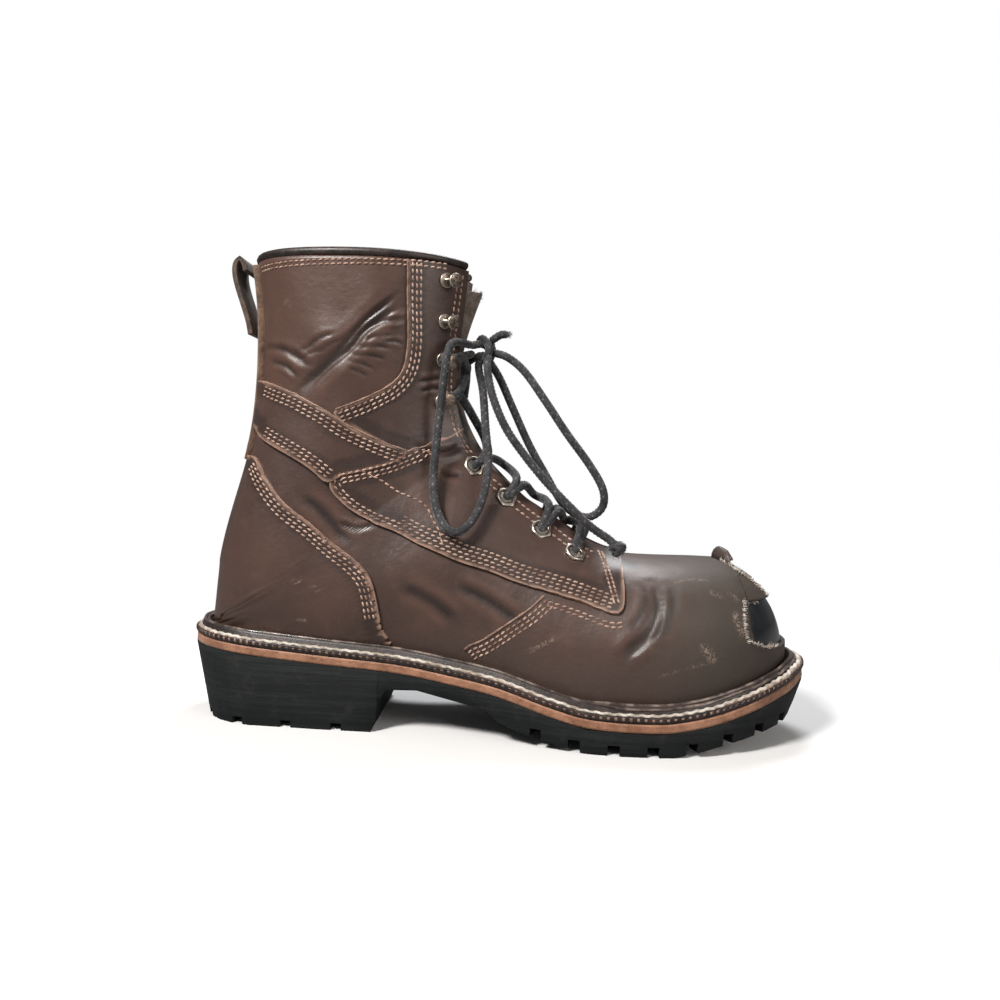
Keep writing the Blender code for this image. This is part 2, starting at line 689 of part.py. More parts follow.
# Pieces sewn to the upper
def overlay(name, prism, finish):
    piece = shell(name, sheet(ROWS, push=GAP), OVERLAY, True, finish)
    cut(piece, prism, "INTERSECT")
    return piece


def side_prism(name, outline_shares, near, far):
    """A side outline in shares, made a prism across the boot from y near to y far."""
    top = feather_height(LAST.rear) + UPPER_RISE
    length = LAST.toe - LAST.rear
    corners = [(LAST.rear + station * length, height * top) for station, height in outline_shares]
    bm = bmesh.new()
    made = closed_loop(bm, [[(x, y, z) for x, z in corners] for y in (near, far)])
    bm.faces.new(made[0])
    bm.faces.new(made[1])
    return new_object(name, bm)


def above_welt(stations):
    """The lower edge of a piece that stops just over the welt's bead, in shares."""
    top = feather_height(LAST.rear) + UPPER_RISE
    length = LAST.toe - LAST.rear
    clear = BEAD_HEIGHT + 2 * GAP
    return tuple((s, (feather_height(LAST.rear + max(s, 0) * length) + clear) / top) for s in stations)


def make_overlays(leather, light):
    wide = SHAFT_WIDTH
    strap_edge = STRAP_WIDTH / 2 + GAP
    pieces = []
    for word, side in (("outer", -1), ("inner", 1)):
        facing = side_prism(f"facing_{word}_cutter", FACING, side * GAP, side * wide)
        pieces.append(overlay(f"facing_{word}", facing, leather))
        band = side_prism(f"ankle_band_{word}_cutter", ANKLE_BAND, side * strap_edge, side * wide)
        pieces.append(overlay(f"ankle_band_{word}", band, leather))
        stay = side_prism(f"eyestay_{word}_cutter", EYESTAY, side * GAP, side * wide)
        pieces.append(overlay(f"eyestay_{word}", stay, leather))
    foot = above_welt((0.318, 0.20, 0.08, -0.060))
    overlay("counter", side_prism("counter_cutter", COUNTER + foot, -wide, wide), leather)
    strip = ((-0.060, 0.590), (-0.060, 1.020), (0.140, 1.020), (0.140, 0.590))
    overlay("back_strap", side_prism("back_strap_cutter", strip, -STRAP_WIDTH / 2, STRAP_WIDTH / 2), light)
    return pieces


# Places along the lace edge
def lace_edge(row, setback, side, rise=0.0):
    """A point set back from the lace edge and raised off the surface, and the outward direction there."""
    def on_ring(at):
        points = np.array(LAST.ring(at, side))[::-1]
        run = np.concatenate(([0], np.cumsum(np.linalg.norm(np.diff(points, axis=0), axis=1))))
        place = Vector([np.interp(setback, run, points[:, i]) for i in range(3)])
        ahead = Vector([np.interp(setback + EDGE_STEP, run, points[:, i]) for i in range(3)])
        return place, ahead
    place, ahead = on_ring(row)
    higher, _ = on_ring(row + 0.2)
    out = (ahead - place).cross(higher - place).normalized()
    if out.y * side < 0 or (abs(out.y) < 0.2 and out.x < 0):
        out.negate()
    return place + out * rise, out


def turned(name, profile, place, out, finish, sides=8, lean=Vector()):
    """A small turned piece: radius and height pairs spun about out, its top shifted by lean."""
    bm = bmesh.new()
    turn = out.to_track_quat("Z", "Y").to_matrix().to_4x4()
    turn.translation = place
    foot, top = profile[0][1], profile[-1][1]
    rings = []
    for radius, height in profile:
        share = (height - foot) / (top - foot)
        spin = [2 * math.pi * k / sides for k in range(sides)]
        rings.append([turn @ Vector((radius * math.cos(a), radius * math.sin(a), height)) + lean * share
                      for a in spin])
    made = closed_loop(bm, rings)
    bm.faces.new(made[0])
    bm.faces.new(made[-1])
    return new_object(name, bm, finish)


def make_hooks(finish):
    base = OVERLAY + 3 * GAP
    profile = ((HOOK_BASE, 0), (HOOK_BASE * 0.8, 0.9 * MM), (HOOK_STEM, 1.1 * MM),
               (HOOK_STEM, HOOK_RISE - 1.6 * MM), (HOOK_HEAD, HOOK_RISE - 1.2 * MM),
               (HOOK_HEAD * 0.7, HOOK_RISE))
    for word, side in (("outer", -1), ("inner", 1)):
        for i, (row, setback) in enumerate(HOOKS):
            place, out = lace_edge(row, setback * MM, side, base)
            forward = lace_edge(row, 0, side, base)[0] - place
            forward = (forward - out * forward.dot(out)).normalized()
            turned(f"hook_{word}_{i + 1}", profile, place, out, finish, lean=forward * HOOK_LEAN)


def make_eyelets(finish, pieces):
    base = OVERLAY + 3 * GAP
    ring = ((EYELET_RADIUS, 0), (EYELET_RADIUS, EYELET_THICK * 0.6), (EYELET_RADIUS * 0.85, EYELET_THICK),
            (EYELET_HOLE, EYELET_THICK), (EYELET_HOLE, 0))
    for word, side in (("outer", -1), ("inner", 1)):
        for i, (row, setback) in enumerate(EYELETS):
            place, out = lace_edge(row, setback * MM, side, base)
            eyelet = turned(f"eyelet_{word}_{i + 1}", ring[:3], place, out, finish, sides=6)
            bore = ((EYELET_HOLE, -DRILL_REACH), (EYELET_HOLE, DRILL_REACH))
            drill = turned(f"eyelet_drill_{word}_{i + 1}", bore, place, out, None)
            for piece in pieces + [eyelet]:
                if piece.name in ("upper", f"eyestay_{word}", eyelet.name):
                    cut(piece, drill)


# Binding and pull loop
def tube(name, points, radius, finish, roundness=2):
    """A closed tube along a smooth line of points."""
    curve = bpy.data.curves.new(name, "CURVE")
    curve.dimensions = "3D"
    curve.bevel_depth = radius
    curve.bevel_resolution = roundness
    curve.use_fill_caps = True
    line = curve.splines.new("POLY")
    line.points.add(len(points) - 1)
    for spot, point in zip(line.points, points):
        spot.co = (*point, 1)
    made = bpy.data.objects.new(name, curve)
    collection("logger_boot").objects.link(made)
    curve.materials.append(finish)
    return made


def make_binding(finish):
    """A rolled edge that sits on the collar's rim, from one lace edge round the back to the other."""
    outer = LAST.ring(LAST_ROW, -1)[::-1]
    inner = LAST.ring(LAST_ROW, 1)
    loop = np.array(outer + inner[1:])
    centre = loop.mean(axis=0)
    points = []
    for x, y, z in loop:
        toward = Vector((centre[0] - x, centre[1] - y, 0)).normalized() * LEATHER / 2
        points.append((x + toward.x, y + toward.y, z + GAP + BINDING_RADIUS))
    return tube("collar_binding", points, BINDING_RADIUS, finish, roundness=1)


def make_pull_loop(finish):
    rim = LAST.section(LAST_ROW)["low"]
    line = []
    for behind, below in PULL_LOOP:
        z = rim[1] - below
        back = LAST.back_line(min(z, rim[1] - 1 * MM))
        line.append(np.array((back - behind, z)))
    line = np.array(line)
    along = np.gradient(line, axis=0)
    along /= np.linalg.norm(along, axis=1)[:, None]
    aside = np.stack((-along[:, 1], along[:, 0]), axis=1) * LOOP_THICK / 2
    ring = np.concatenate((line + aside, (line - aside)[::-1]))
    bm = bmesh.new()
    made = closed_loop(bm, [[(x, y, z) for x, z in ring] for y in (-LOOP_WIDTH / 2, LOOP_WIDTH / 2)])
    count = len(line)
    for ends in made:
        for k in range(count - 1):
            bm.faces.new((ends[k], ends[k + 1], ends[2 * count - 2 - k], ends[2 * count - 1 - k]))
    return new_object("pull_loop", bm, finish)


# Laces
def eased(points, per_step):
    """A smooth curve through hand-placed points, read at even shares of each step."""
    pts = np.array([tuple(p) for p in points])
    padded = np.concatenate((2 * pts[:1] - pts[1:2], pts, 2 * pts[-1:] - pts[-2:-1]))
    made = []
    for i in range(1, len(padded) - 2):
        a, b, c, d = padded[i - 1:i + 3]
        for t in np.arange(per_step) / per_step:
            made.append(0.5 * (2 * b + (c - a) * t + (2 * a - 5 * b + 4 * c - d) * t * t
                               + (3 * b - 3 * c + d - a) * t ** 3))
    made.append(pts[-1])
    return np.array(made)


def over_ridge(row):
    """Where a lace crosses the middle of the throat, lying on the tongue."""
    x, z = LAST.section(row)["ridge"]
    ahead = LAST.section(row + 0.1)["ridge"] - LAST.section(row - 0.1)["ridge"]
    out = Vector((ahead[1], 0, -ahead[0])).normalized()
    return Vector((x, LAST.section(row)["ridge_y"], z)) + out * 5 * GAP


def make_crossings(finish):
    """Two lines of lace that cross between the eyelets and hooks, with a bar at the lowest pair."""
    stops = [(row, setback * MM, LACE_LIFT) for row, setback in EYELETS[::-1]]
    stops += [(row, setback * MM - HOOK_STEM - LACE_RADIUS - HOOK_LEAN, OVERLAY + 5 * GAP + LACE_RADIUS)
              for row, setback in HOOKS[:1:-1]]
    solids = []
    for start in (-1, 1):
        points = []
        for i, (row, setback, lift) in enumerate(stops):
            side = start if i % 2 == 0 else -start
            points.append(lace_edge(row, setback, side, lift)[0])
            if i + 1 < len(stops):
                after = stops[i + 1]
                points.append(lace_edge(row + 0.1, 0.0, side, lift)[0])
                points.append(over_ridge((row + after[0]) / 2))
                points.append(lace_edge(after[0] - 0.1, 0.0, -side, after[2])[0])
            else:
                x, y, z = KNOT_LEG
                points.append(Vector((KNOT[0] + x, KNOT[1] + side * y, KNOT[2] + z)) * MM)
        solids.append(tube(f"lace_line_{len(solids)}", eased(points, 1), LACE_RADIUS, finish, roundness=1))
    row, setback, lift = stops[0]
    bar = [lace_edge(row, setback, -1, lift)[0], lace_edge(row, 0, -1, lift)[0], over_ridge(row),
           lace_edge(row, 0, 1, lift)[0], lace_edge(row, setback, 1, lift)[0]]
    solids.append(tube("lace_line_bar", eased(bar, 1), LACE_RADIUS, finish, roundness=1))
    return join_tubes("lace_crossings", solids, finish)


def meshed(tube_object, name):
    """The tube as a mesh, with its caps welded to its sides."""
    depsgraph = bpy.context.evaluated_depsgraph_get()
    mesh = bpy.data.meshes.new_from_object(tube_object.evaluated_get(depsgraph))
    bm = bmesh.new()
    bm.from_mesh(mesh)
    bmesh.ops.remove_doubles(bm, verts=bm.verts, dist=0.00005)
    bmesh.ops.recalc_face_normals(bm, faces=bm.faces)
    bm.to_mesh(mesh)
    bm.free()
    made = bpy.data.objects.new(name, mesh)
    made.matrix_world = tube_object.matrix_world
    bpy.data.objects.remove(tube_object, do_unlink=True)
    return made


def join_tubes(name, tubes, finish):
    base = meshed(tubes[0], name)
    collection("logger_boot").objects.link(base)
    for i, other in enumerate(tubes[1:]):
        tool = meshed(other, f"{name}_tool_{i}")
        collection("cutters").objects.link(tool)
        tool.hide_render = True
        tool.display_type = "WIRE"
        cut(base, tool, "UNION")
    return base


def make_bow(finish):
    bm = bmesh.new()
    bmesh.ops.create_uvsphere(bm, u_segments=10, v_segments=6, radius=1)
    for v in bm.verts:
        v.co = (Vector(KNOT) + v.co * Vector(KNOT_SIZE)) * MM
    new_object("lace_knot", bm, finish)
    for name, route in (("bow_outer", BOW_OUTER), ("bow_inner", BOW_INNER), ("lace_end_long", FREE_END),
                        ("lace_end_short", SHORT_END)):
        tube(name, eased(np.array(route) * MM, 1 if len(route) > 12 else 2), LACE_RADIUS, finish)


def build():
    clear_scene()
    leather = material("oiled_leather", (0.075, 0.036, 0.026), 0.45)
    dark = material("dark_leather", (0.03, 0.018, 0.014), 0.5)
    tan = material("leather_midsole", (0.42, 0.16, 0.07), 0.6)
    rubber = material("black_rubber", (0.012, 0.015, 0.014), 0.7)
    cap = material("safety_toe", (0.01, 0.01, 0.01), 0.35)
    make_outsole(rubber)
    plate("midsole", 0.0, rubber_top, lambda x: rubber_top(x) + MIDSOLE_THICK - GAP, tan)
    make_welt(dark)
    lift = MIDSOLE_THICK
    plate("insole", UPPER_INSET + LEATHER + INSOLE_CLEAR, lambda x: rubber_top(x) + lift,
          lambda x: rubber_top(x) + lift + INSOLE_THICK, tan)
    upper = make_upper(leather)
    make_toe_cap(cap)
    make_tongue(leather)
    light = material("tan_edge", (0.22, 0.12, 0.08), 0.6)
    metal = material("nickel", (0.55, 0.53, 0.5), 0.35, 1.0)
    cord = material("black_lace", (0.012, 0.012, 0.014), 0.8)
    pieces = make_overlays(leather, light)
    make_hooks(metal)
    make_eyelets(metal, pieces + [upper])
    make_binding(dark)
    make_pull_loop(dark)
    make_crossings(cord)
    make_bow(cord)


build()
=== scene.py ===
# %% [markdown]
# # A worn logger boot
# This lesson dresses a bare solid model of a right-foot work boot until it looks like a boot that has
# seen years of mud, oil and stones. The solids come from the frame and already have the right size,
# so nothing here is scaled: every seam, eyelet and thread is added in place, in metres, with the
# heel's middle at x = 0, the toe towards +x, the inner side towards +y and the floor at z = 0.

# %% Load the frame
import math

import bmesh
import bpy
import numpy as np
from mathutils import Matrix, Vector
from mathutils.bvhtree import BVHTree


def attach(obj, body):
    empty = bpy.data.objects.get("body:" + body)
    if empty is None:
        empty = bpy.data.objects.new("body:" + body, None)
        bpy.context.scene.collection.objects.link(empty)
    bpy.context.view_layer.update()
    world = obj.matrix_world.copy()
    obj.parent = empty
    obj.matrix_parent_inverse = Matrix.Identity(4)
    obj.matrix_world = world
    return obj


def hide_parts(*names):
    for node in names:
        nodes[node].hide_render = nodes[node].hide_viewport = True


MM = 0.001
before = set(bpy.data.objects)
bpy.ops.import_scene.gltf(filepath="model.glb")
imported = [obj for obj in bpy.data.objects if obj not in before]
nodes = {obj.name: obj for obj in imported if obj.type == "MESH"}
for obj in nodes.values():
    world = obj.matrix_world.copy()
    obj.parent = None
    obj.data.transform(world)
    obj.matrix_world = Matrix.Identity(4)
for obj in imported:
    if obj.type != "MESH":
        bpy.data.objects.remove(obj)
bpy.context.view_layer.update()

# %% [markdown]
# ## The camera
# The portrait was taken from knee height, half a metre from the boot's outer side. The camera's place
# and turn were worked out once by matching the sole's ends, the collar and the eyelets, and are
# written here as plain numbers. A small lens shift keeps the boot left of the picture's middle, as it
# was, without turning the camera.

# %% Put the camera at the outer side
YAW, PITCH, ROLL = (math.radians(a) for a in (4.82, 1.68, 1.28))


def aim_camera():
    ahead = Vector((-math.sin(YAW) * math.cos(PITCH), math.cos(YAW) * math.cos(PITCH), -math.sin(PITCH)))
    level = Vector((math.cos(YAW), math.sin(YAW), 0))
    upright = level.cross(ahead)
    right = level * math.cos(ROLL) + upright * math.sin(ROLL)
    up = upright * math.cos(ROLL) - level * math.sin(ROLL)
    camera = bpy.data.objects.new("portrait_camera", bpy.data.cameras.new("portrait_camera"))
    bpy.context.scene.collection.objects.link(camera)
    camera.matrix_world = Matrix((right, up, -ahead)).transposed().to_4x4()
    camera.location = (0.12438, -0.449, 0.1332)
    camera.data.sensor_width = 36
    camera.data.lens = 30.72
    camera.data.shift_x = 0.0453
    camera.data.shift_y = -0.0115
    camera.data.clip_start = 0.02
    return camera


bpy.context.scene.camera = aim_camera()
print("camera", [round(c, 3) for c in bpy.context.scene.camera.location])

# %% [markdown]
# ## Floor and light
# A portrait of leather lives on one clear light and deep shade. The main lamp hangs high on the left
# front: it draws the sheen along the folds and throws the laces' shadow to the right. A weak one on
# the right keeps the toe readable, and one behind lifts the collar and laces off the ground. The floor
# and the room beyond are plain white to the eye, so that no horizon cuts the picture, but they throw
# little light back, because a white room would wash out the shade under the folds.

# %% Hang the soft lamps and lay the floor
def soft_lamp(name, place, aim, side, power, tint):
    lamp = bpy.data.objects.new(name, bpy.data.lights.new(name, "AREA"))
    bpy.context.scene.collection.objects.link(lamp)
    lamp.data.shape = "DISK"
    lamp.data.size = side
    lamp.data.energy = power
    lamp.data.color = tint
    lamp.location = place
    lamp.rotation_euler = (Vector(aim) - Vector(place)).to_track_quat("-Z", "Y").to_euler()
    return lamp


soft_lamp("key_lamp", (-0.42, -0.7, 0.9), (0.07, 0, 0.15), 0.3, 17, (1, 0.97, 0.94))
soft_lamp("fill_lamp", (0.95, -0.75, 0.5), (0.12, 0, 0.08), 0.7, 4.5, (1, 0.95, 0.9))
soft_lamp("back_lamp", (0.25, 0.6, 1.1), (0.1, 0, 0.12), 0.5, 9, (0.97, 0.98, 1))
world = bpy.data.worlds.new("pale_room")
bpy.context.scene.world = world
world.use_nodes = True
world.node_tree.nodes["Background"].inputs["Color"].default_value = (1, 1, 1, 1)
world_nodes, world_links = world.node_tree.nodes, world.node_tree.links
room = world_nodes.new("ShaderNodeMix")
room.inputs["A"].default_value = 0.14
room.inputs["B"].default_value = 1.0
world_links.new(world_nodes.new("ShaderNodeLightPath").outputs["Is Camera Ray"], room.inputs["Factor"])
world_links.new(room.outputs["Result"], world_nodes["Background"].inputs["Strength"])
bpy.context.scene.view_settings.view_transform = "Standard"

bpy.ops.object.select_all(action="DESELECT")
bpy.ops.mesh.primitive_plane_add(size=8, location=(0.1, 0, 0))
floor = bpy.context.object
floor.name = "pale_floor"
floor.data.transform(floor.matrix_world)
floor.matrix_world = Matrix.Identity(4)


def floor_paint():
    """Painted floor round the boot, plain white further out, and dim in what it throws back."""
    paint = bpy.data.materials.new("pale_floor")
    paint.use_nodes = True
    made, links = paint.node_tree.nodes, paint.node_tree.links
    base = made["Principled BSDF"]
    base.inputs["Roughness"].default_value = 0.8
    path = made.new("ShaderNodeLightPath")
    tone = made.new("ShaderNodeMix")
    tone.data_type = "RGBA"
    tone.inputs["A"].default_value = (0.2, 0.2, 0.2, 1)
    tone.inputs["B"].default_value = (0.95, 0.95, 0.95, 1)
    links.new(path.outputs["Is Camera Ray"], tone.inputs["Factor"])
    links.new(tone.outputs["Result"], base.inputs["Base Color"])
    place = made.new("ShaderNodeTexCoord")
    away = made.new("ShaderNodeVectorMath")
    away.operation = "DISTANCE"
    away.inputs[1].default_value = (0.1, 0.05, 0)
    links.new(place.outputs["Object"], away.inputs[0])
    far = made.new("ShaderNodeMapRange")
    far.interpolation_type = "SMOOTHSTEP"
    far.inputs["From Min"].default_value = 0.22
    far.inputs["From Max"].default_value = 0.42
    links.new(away.outputs["Value"], far.inputs["Value"])
    seen_far = made.new("ShaderNodeMath")
    seen_far.operation = "MULTIPLY"
    links.new(far.outputs["Result"], seen_far.inputs[0])
    links.new(path.outputs["Is Camera Ray"], seen_far.inputs[1])
    white = made.new("ShaderNodeEmission")
    both = made.new("ShaderNodeMixShader")
    links.new(seen_far.outputs["Value"], both.inputs["Fac"])
    links.new(base.outputs["BSDF"], both.inputs[1])
    links.new(white.outputs["Emission"], both.inputs[2])
    links.new(both.outputs["Shader"], made["Material Output"].inputs["Surface"])
    return paint


floor.data.materials.append(floor_paint())
print("three lamps and a floor")

# %% [markdown]
# ## A recipe for finishes
# A good finish is a stack: a base colour broken by soft noise, wear where hands and stones rub,
# fine relief from bump, and gloss that changes over the surface. The small class below adds one
# shader node per call and hands back its output, so each finish later reads like a recipe. All
# patterns use object coordinates in metres, so a scale of 400 means about 2.5 mm per blotch.

# %% The recipe class
class Recipe:
    def __init__(self, name, **plain):
        self.material = bpy.data.materials.new(name)
        self.material.use_nodes = True
        self.nodes = self.material.node_tree.nodes
        self.links = self.material.node_tree.links
        self.shader = self.nodes["Principled BSDF"]
        self.place = self.nodes.new("ShaderNodeTexCoord").outputs["Object"]
        for word, value in plain.items():
            socket = self.shader.inputs[word.replace("_", " ")]
            socket.default_value = (*value, 1) if isinstance(value, tuple) else value

    def _join(self, value, socket):
        if isinstance(value, bpy.types.NodeSocket):
            self.links.new(value, socket)
        elif isinstance(value, tuple) and len(value) == 3 and socket.type == "RGBA":
            socket.default_value = (*value, 1)
        else:
            socket.default_value = value

    def stretched(self, x, y, z):
        node = self.nodes.new("ShaderNodeMapping")
        node.inputs["Scale"].default_value = (x, y, z)
        self.links.new(self.place, node.inputs["Vector"])
        return node.outputs["Vector"]

    def noise(self, scale, detail=3.0, rough=0.55, on=None, warp=0.0):
        node = self.nodes.new("ShaderNodeTexNoise")
        node.inputs["Scale"].default_value = scale
        node.inputs["Detail"].default_value = detail
        node.inputs["Roughness"].default_value = rough
        node.inputs["Distortion"].default_value = warp
        self.links.new(on or self.place, node.inputs["Vector"])
        return node.outputs["Fac"]

    def pebbles(self, scale, feature="F1", on=None):
        node = self.nodes.new("ShaderNodeTexVoronoi")
        node.feature = feature
        node.inputs["Scale"].default_value = scale
        self.links.new(on or self.place, node.inputs["Vector"])
        return node.outputs["Distance"]

    def mark(self, name):
        node = self.nodes.new("ShaderNodeAttribute")
        node.attribute_name = name
        return node.outputs["Fac"]

    def ramp(self, value, low, high):
        node = self.nodes.new("ShaderNodeMapRange")
        node.interpolation_type = "SMOOTHSTEP"
        node.inputs["From Min"].default_value = low
        node.inputs["From Max"].default_value = high
        self._join(value, node.inputs["Value"])
        return node.outputs["Result"]

    def spread(self, value, low, high):
        node = self.nodes.new("ShaderNodeMapRange")
        node.inputs["To Min"].default_value = low
        node.inputs["To Max"].default_value = high
        self._join(value, node.inputs["Value"])
        return node.outputs["Result"]

    def blend(self, share, first, second, how="MIX"):
        node = self.nodes.new("ShaderNodeMix")
        node.data_type = "RGBA"
        node.blend_type = how
        for socket, value in ((node.inputs[0], share), (node.inputs[6], first), (node.inputs[7], second)):
            self._join(value, socket)
        return node.outputs[2]

    def sum(self, how, first, second):
        node = self.nodes.new("ShaderNodeMath")
        node.operation = how
        self._join(first, node.inputs[0])
        self._join(second, node.inputs[1])
        return node.outputs[0]

    def relief(self, height, depth, under=None, strength=1.0):
        node = self.nodes.new("ShaderNodeBump")
        node.inputs["Distance"].default_value = depth
        node.inputs["Strength"].default_value = strength
        self.links.new(height, node.inputs["Height"])
        if under:
            self.links.new(under, node.inputs["Normal"])
        return node.outputs["Normal"]

    def finish(self, **sockets):
        for word, value in sockets.items():
            self._join(value, self.shader.inputs[word.replace("_", " ")])
        return self.material


print("recipe ready")

# %% [markdown]
# ## Oiled leather
# Pull-up leather is dyed through and stuffed with oil. Where it bends the oil moves and the colour
# turns lighter and redder, where it rubs it polishes, and round the toe mud has dried it to a dull
# grey-green. The colour is a stack of soft noises, and named marks on the mesh (crest, dull, scuff)
# say where each kind of wear sits. Other marks paint light: the crease mark is painted shade, dark in
# the crease troughs and in the bands beside the seams; the rim mark paints the cut edges pale, partly
# their own colour and partly a painted highlight; and over the shaft the crest mark also carries a
# lightening that is partly painted light. The grain is a fine net of pores over soft wrinkles.

# %% The leather's colour and grain
BROWN = (0.058, 0.032, 0.025)
WARM_BROWN = (0.115, 0.058, 0.040)
# The darkest brown is painted shade, for the crease troughs and the bands beside the seams.
PAINTED_SHADE_BROWN = (0.013, 0.007, 0.006)
DRY_GREY = (0.060, 0.048, 0.038)
PALE_SCRATCH = (0.36, 0.27, 0.21)


def oiled_leather(name="oiled_leather", tone=1.0):
    leather = Recipe(name, Coat_Roughness=0.30, Specular_IOR_Level=0.5)
    broad = leather.noise(24, 3)
    patches = leather.noise(85, 4, warp=0.6)
    colour = leather.blend(leather.ramp(broad, 0.36, 0.66), tuple(c * tone for c in BROWN),
                           tuple(c * tone * 1.25 for c in BROWN))
    colour = leather.blend(leather.sum("MULTIPLY", leather.ramp(patches, 0.5, 0.72), 0.35), colour,
                           WARM_BROWN)
    # Lighter and redder on ridges and puffs, where pull-up leather bends; over the shaft this mark also carries a
    # lightening that is partly painted light.
    crest = leather.sum("MULTIPLY", leather.mark("crest"), leather.spread(patches, 0.45, 1.0))
    colour = leather.blend(crest, colour, WARM_BROWN)
    # Painted shade: darker in the crease troughs and in the bands beside the seams.
    colour = leather.blend(leather.mark("painted_shade"), colour, PAINTED_SHADE_BROWN)
    dull = leather.sum("MULTIPLY", leather.mark("dull"), leather.spread(broad, 0.6, 1.15))
    colour = leather.blend(dull, colour, DRY_GREY)
    # Pale cut edges: partly the raw edge's own colour, partly a painted highlight.
    rim = leather.sum("MULTIPLY", leather.mark("rim"), leather.ramp(leather.noise(320, 3), 0.2, 0.5))
    colour = leather.blend(rim, colour, (0.42, 0.26, 0.19))
    scratch = leather.sum("MULTIPLY", leather.mark("scuff"), leather.ramp(leather.noise(900, 3), 0.42, 0.6))
    colour = leather.blend(scratch, colour, PALE_SCRATCH)
    speck = leather.ramp(leather.noise(520, 2, on=leather.stretched(1, 1, 1.6)), 0.70, 0.76)
    colour = leather.blend(leather.sum("MULTIPLY", speck, 0.28), colour, (0.2, 0.13, 0.1))
    gloss = leather.sum("ADD", leather.spread(patches, 0.34, 0.52),
                        leather.sum("MULTIPLY", leather.mark("dull"), 0.22))
    polish = leather.sum("SUBTRACT", 0.3, leather.sum("MULTIPLY", leather.mark("dull"), 0.3))
    pores = leather.pebbles(1250, "DISTANCE_TO_EDGE")
    fine = leather.relief(pores, 0.00012, strength=0.5)
    wrinkles = leather.relief(leather.noise(430, 4, 0.6), 0.00035, under=fine, strength=0.45)
    waves = leather.relief(leather.noise(95, 2), 0.0012, under=wrinkles, strength=0.3)
    return leather.finish(Base_Color=colour, Roughness=gloss, Coat_Weight=polish, Normal=waves)


leather = oiled_leather()
panel_leather = oiled_leather("panel_leather", 1.06)
print("leather ready")

# %% [markdown]
# ## The smaller finishes
# The lining is worn soft hide, the thread a waxed pinkish beige, the laces black braid with grey
# flecks, and the metal is nickel that has lost its shine on the faces and kept it on the rims. The
# rubber is dusty and streaked along the heel where it was buffed.

# %% Lining, thread, lace, metal and rubber
def worn_lining():
    lining = Recipe("worn_lining", Roughness=0.85)
    colour = lining.blend(lining.ramp(lining.noise(60, 4), 0.3, 0.7), (0.055, 0.04, 0.03), (0.12, 0.09, 0.07))
    return lining.finish(Base_Color=colour, Normal=lining.relief(lining.noise(700, 4), 0.0004, strength=0.6))


def waxed_thread(name, light, dark):
    thread = Recipe(name, Roughness=0.6, Sheen_Weight=0.2)
    colour = thread.blend(thread.ramp(thread.noise(160, 3), 0.34, 0.62), dark, light)
    return thread.finish(Base_Color=colour, Normal=thread.relief(thread.noise(2600, 2), 0.0002))


def braided_black():
    braid = Recipe("braided_black", Roughness=0.72, Sheen_Weight=0.35, Sheen_Roughness=0.4)
    black = braid.blend(braid.ramp(braid.noise(140, 3), 0.3, 0.7), (0.007, 0.007, 0.009),
                        (0.024, 0.023, 0.026))
    # Grey: the tracer thread's own colour, plus a painted highlight on the crowns of the strands.
    tracer_and_highlight = braid.sum("MULTIPLY", braid.mark("tracer_and_highlight"), braid.ramp(braid.noise(210, 2), 0.25, 0.75))
    colour = braid.blend(tracer_and_highlight, black, (0.25, 0.25, 0.255))
    return braid.finish(Base_Color=colour, Normal=braid.relief(braid.noise(3200, 2), 0.00025, strength=0.8))


def worn_nickel():
    nickel = Recipe("worn_nickel", Metallic=1.0)
    patch = nickel.noise(420, 4, 0.65)
    tarnish = nickel.blend(nickel.ramp(patch, 0.38, 0.62), (0.10, 0.07, 0.055), (0.34, 0.28, 0.23))
    colour = nickel.blend(nickel.mark("rim"), tarnish, (0.86, 0.80, 0.70))
    roughness = nickel.spread(patch, 0.52, 0.2)
    return nickel.finish(Base_Color=colour, Roughness=roughness,
                         Normal=nickel.relief(nickel.noise(1500, 3), 0.00015, strength=0.7))


def dusty_rubber():
    rubber = Recipe("dusty_rubber", Specular_IOR_Level=0.35)
    streaks = rubber.noise(60, 4, 0.6, on=rubber.stretched(0.35, 0.35, 7))
    dust = rubber.noise(130, 5, 0.65)
    colour = rubber.blend(rubber.ramp(streaks, 0.4, 0.68), (0.007, 0.009, 0.009), (0.014, 0.018, 0.018))
    colour = rubber.blend(rubber.sum("MULTIPLY", rubber.ramp(dust, 0.52, 0.8), 0.3), colour,
                          (0.07, 0.062, 0.052))
    relief = rubber.relief(streaks, 0.0009, strength=0.35)
    return rubber.finish(Base_Color=colour, Roughness=rubber.spread(dust, 0.5, 0.85),
                         Normal=rubber.relief(rubber.noise(1100, 3), 0.0003, under=relief, strength=0.5))


def dark_trim():
    trim = Recipe("dark_trim", Coat_Weight=0.2, Coat_Roughness=0.3)
    dust = trim.noise(150, 4, 0.6)
    colour = trim.blend(trim.ramp(dust, 0.35, 0.7), (0.014, 0.009, 0.008), (0.05, 0.031, 0.025))
    colour = trim.blend(trim.mark("rim"), colour, (0.42, 0.35, 0.3))
    return trim.finish(Base_Color=colour, Roughness=trim.spread(dust, 0.34, 0.6),
                       Normal=trim.relief(trim.noise(800, 4), 0.0003, strength=0.6))


def glossy_ridge_with_highlight():
    ridge = Recipe("ridge_gloss_and_highlight", Coat_Weight=0.7, Coat_Roughness=0.16)
    highlight_patches = ridge.noise(120, 3)
    # The pale end of this colour is a painted highlight on the crests; the dark end is the welt's own leather.
    colour = ridge.blend(ridge.ramp(highlight_patches, 0.4, 0.66), (0.05, 0.035, 0.03), (0.26, 0.20, 0.17))
    return ridge.finish(Base_Color=colour, Roughness=ridge.spread(highlight_patches, 0.2, 0.42))


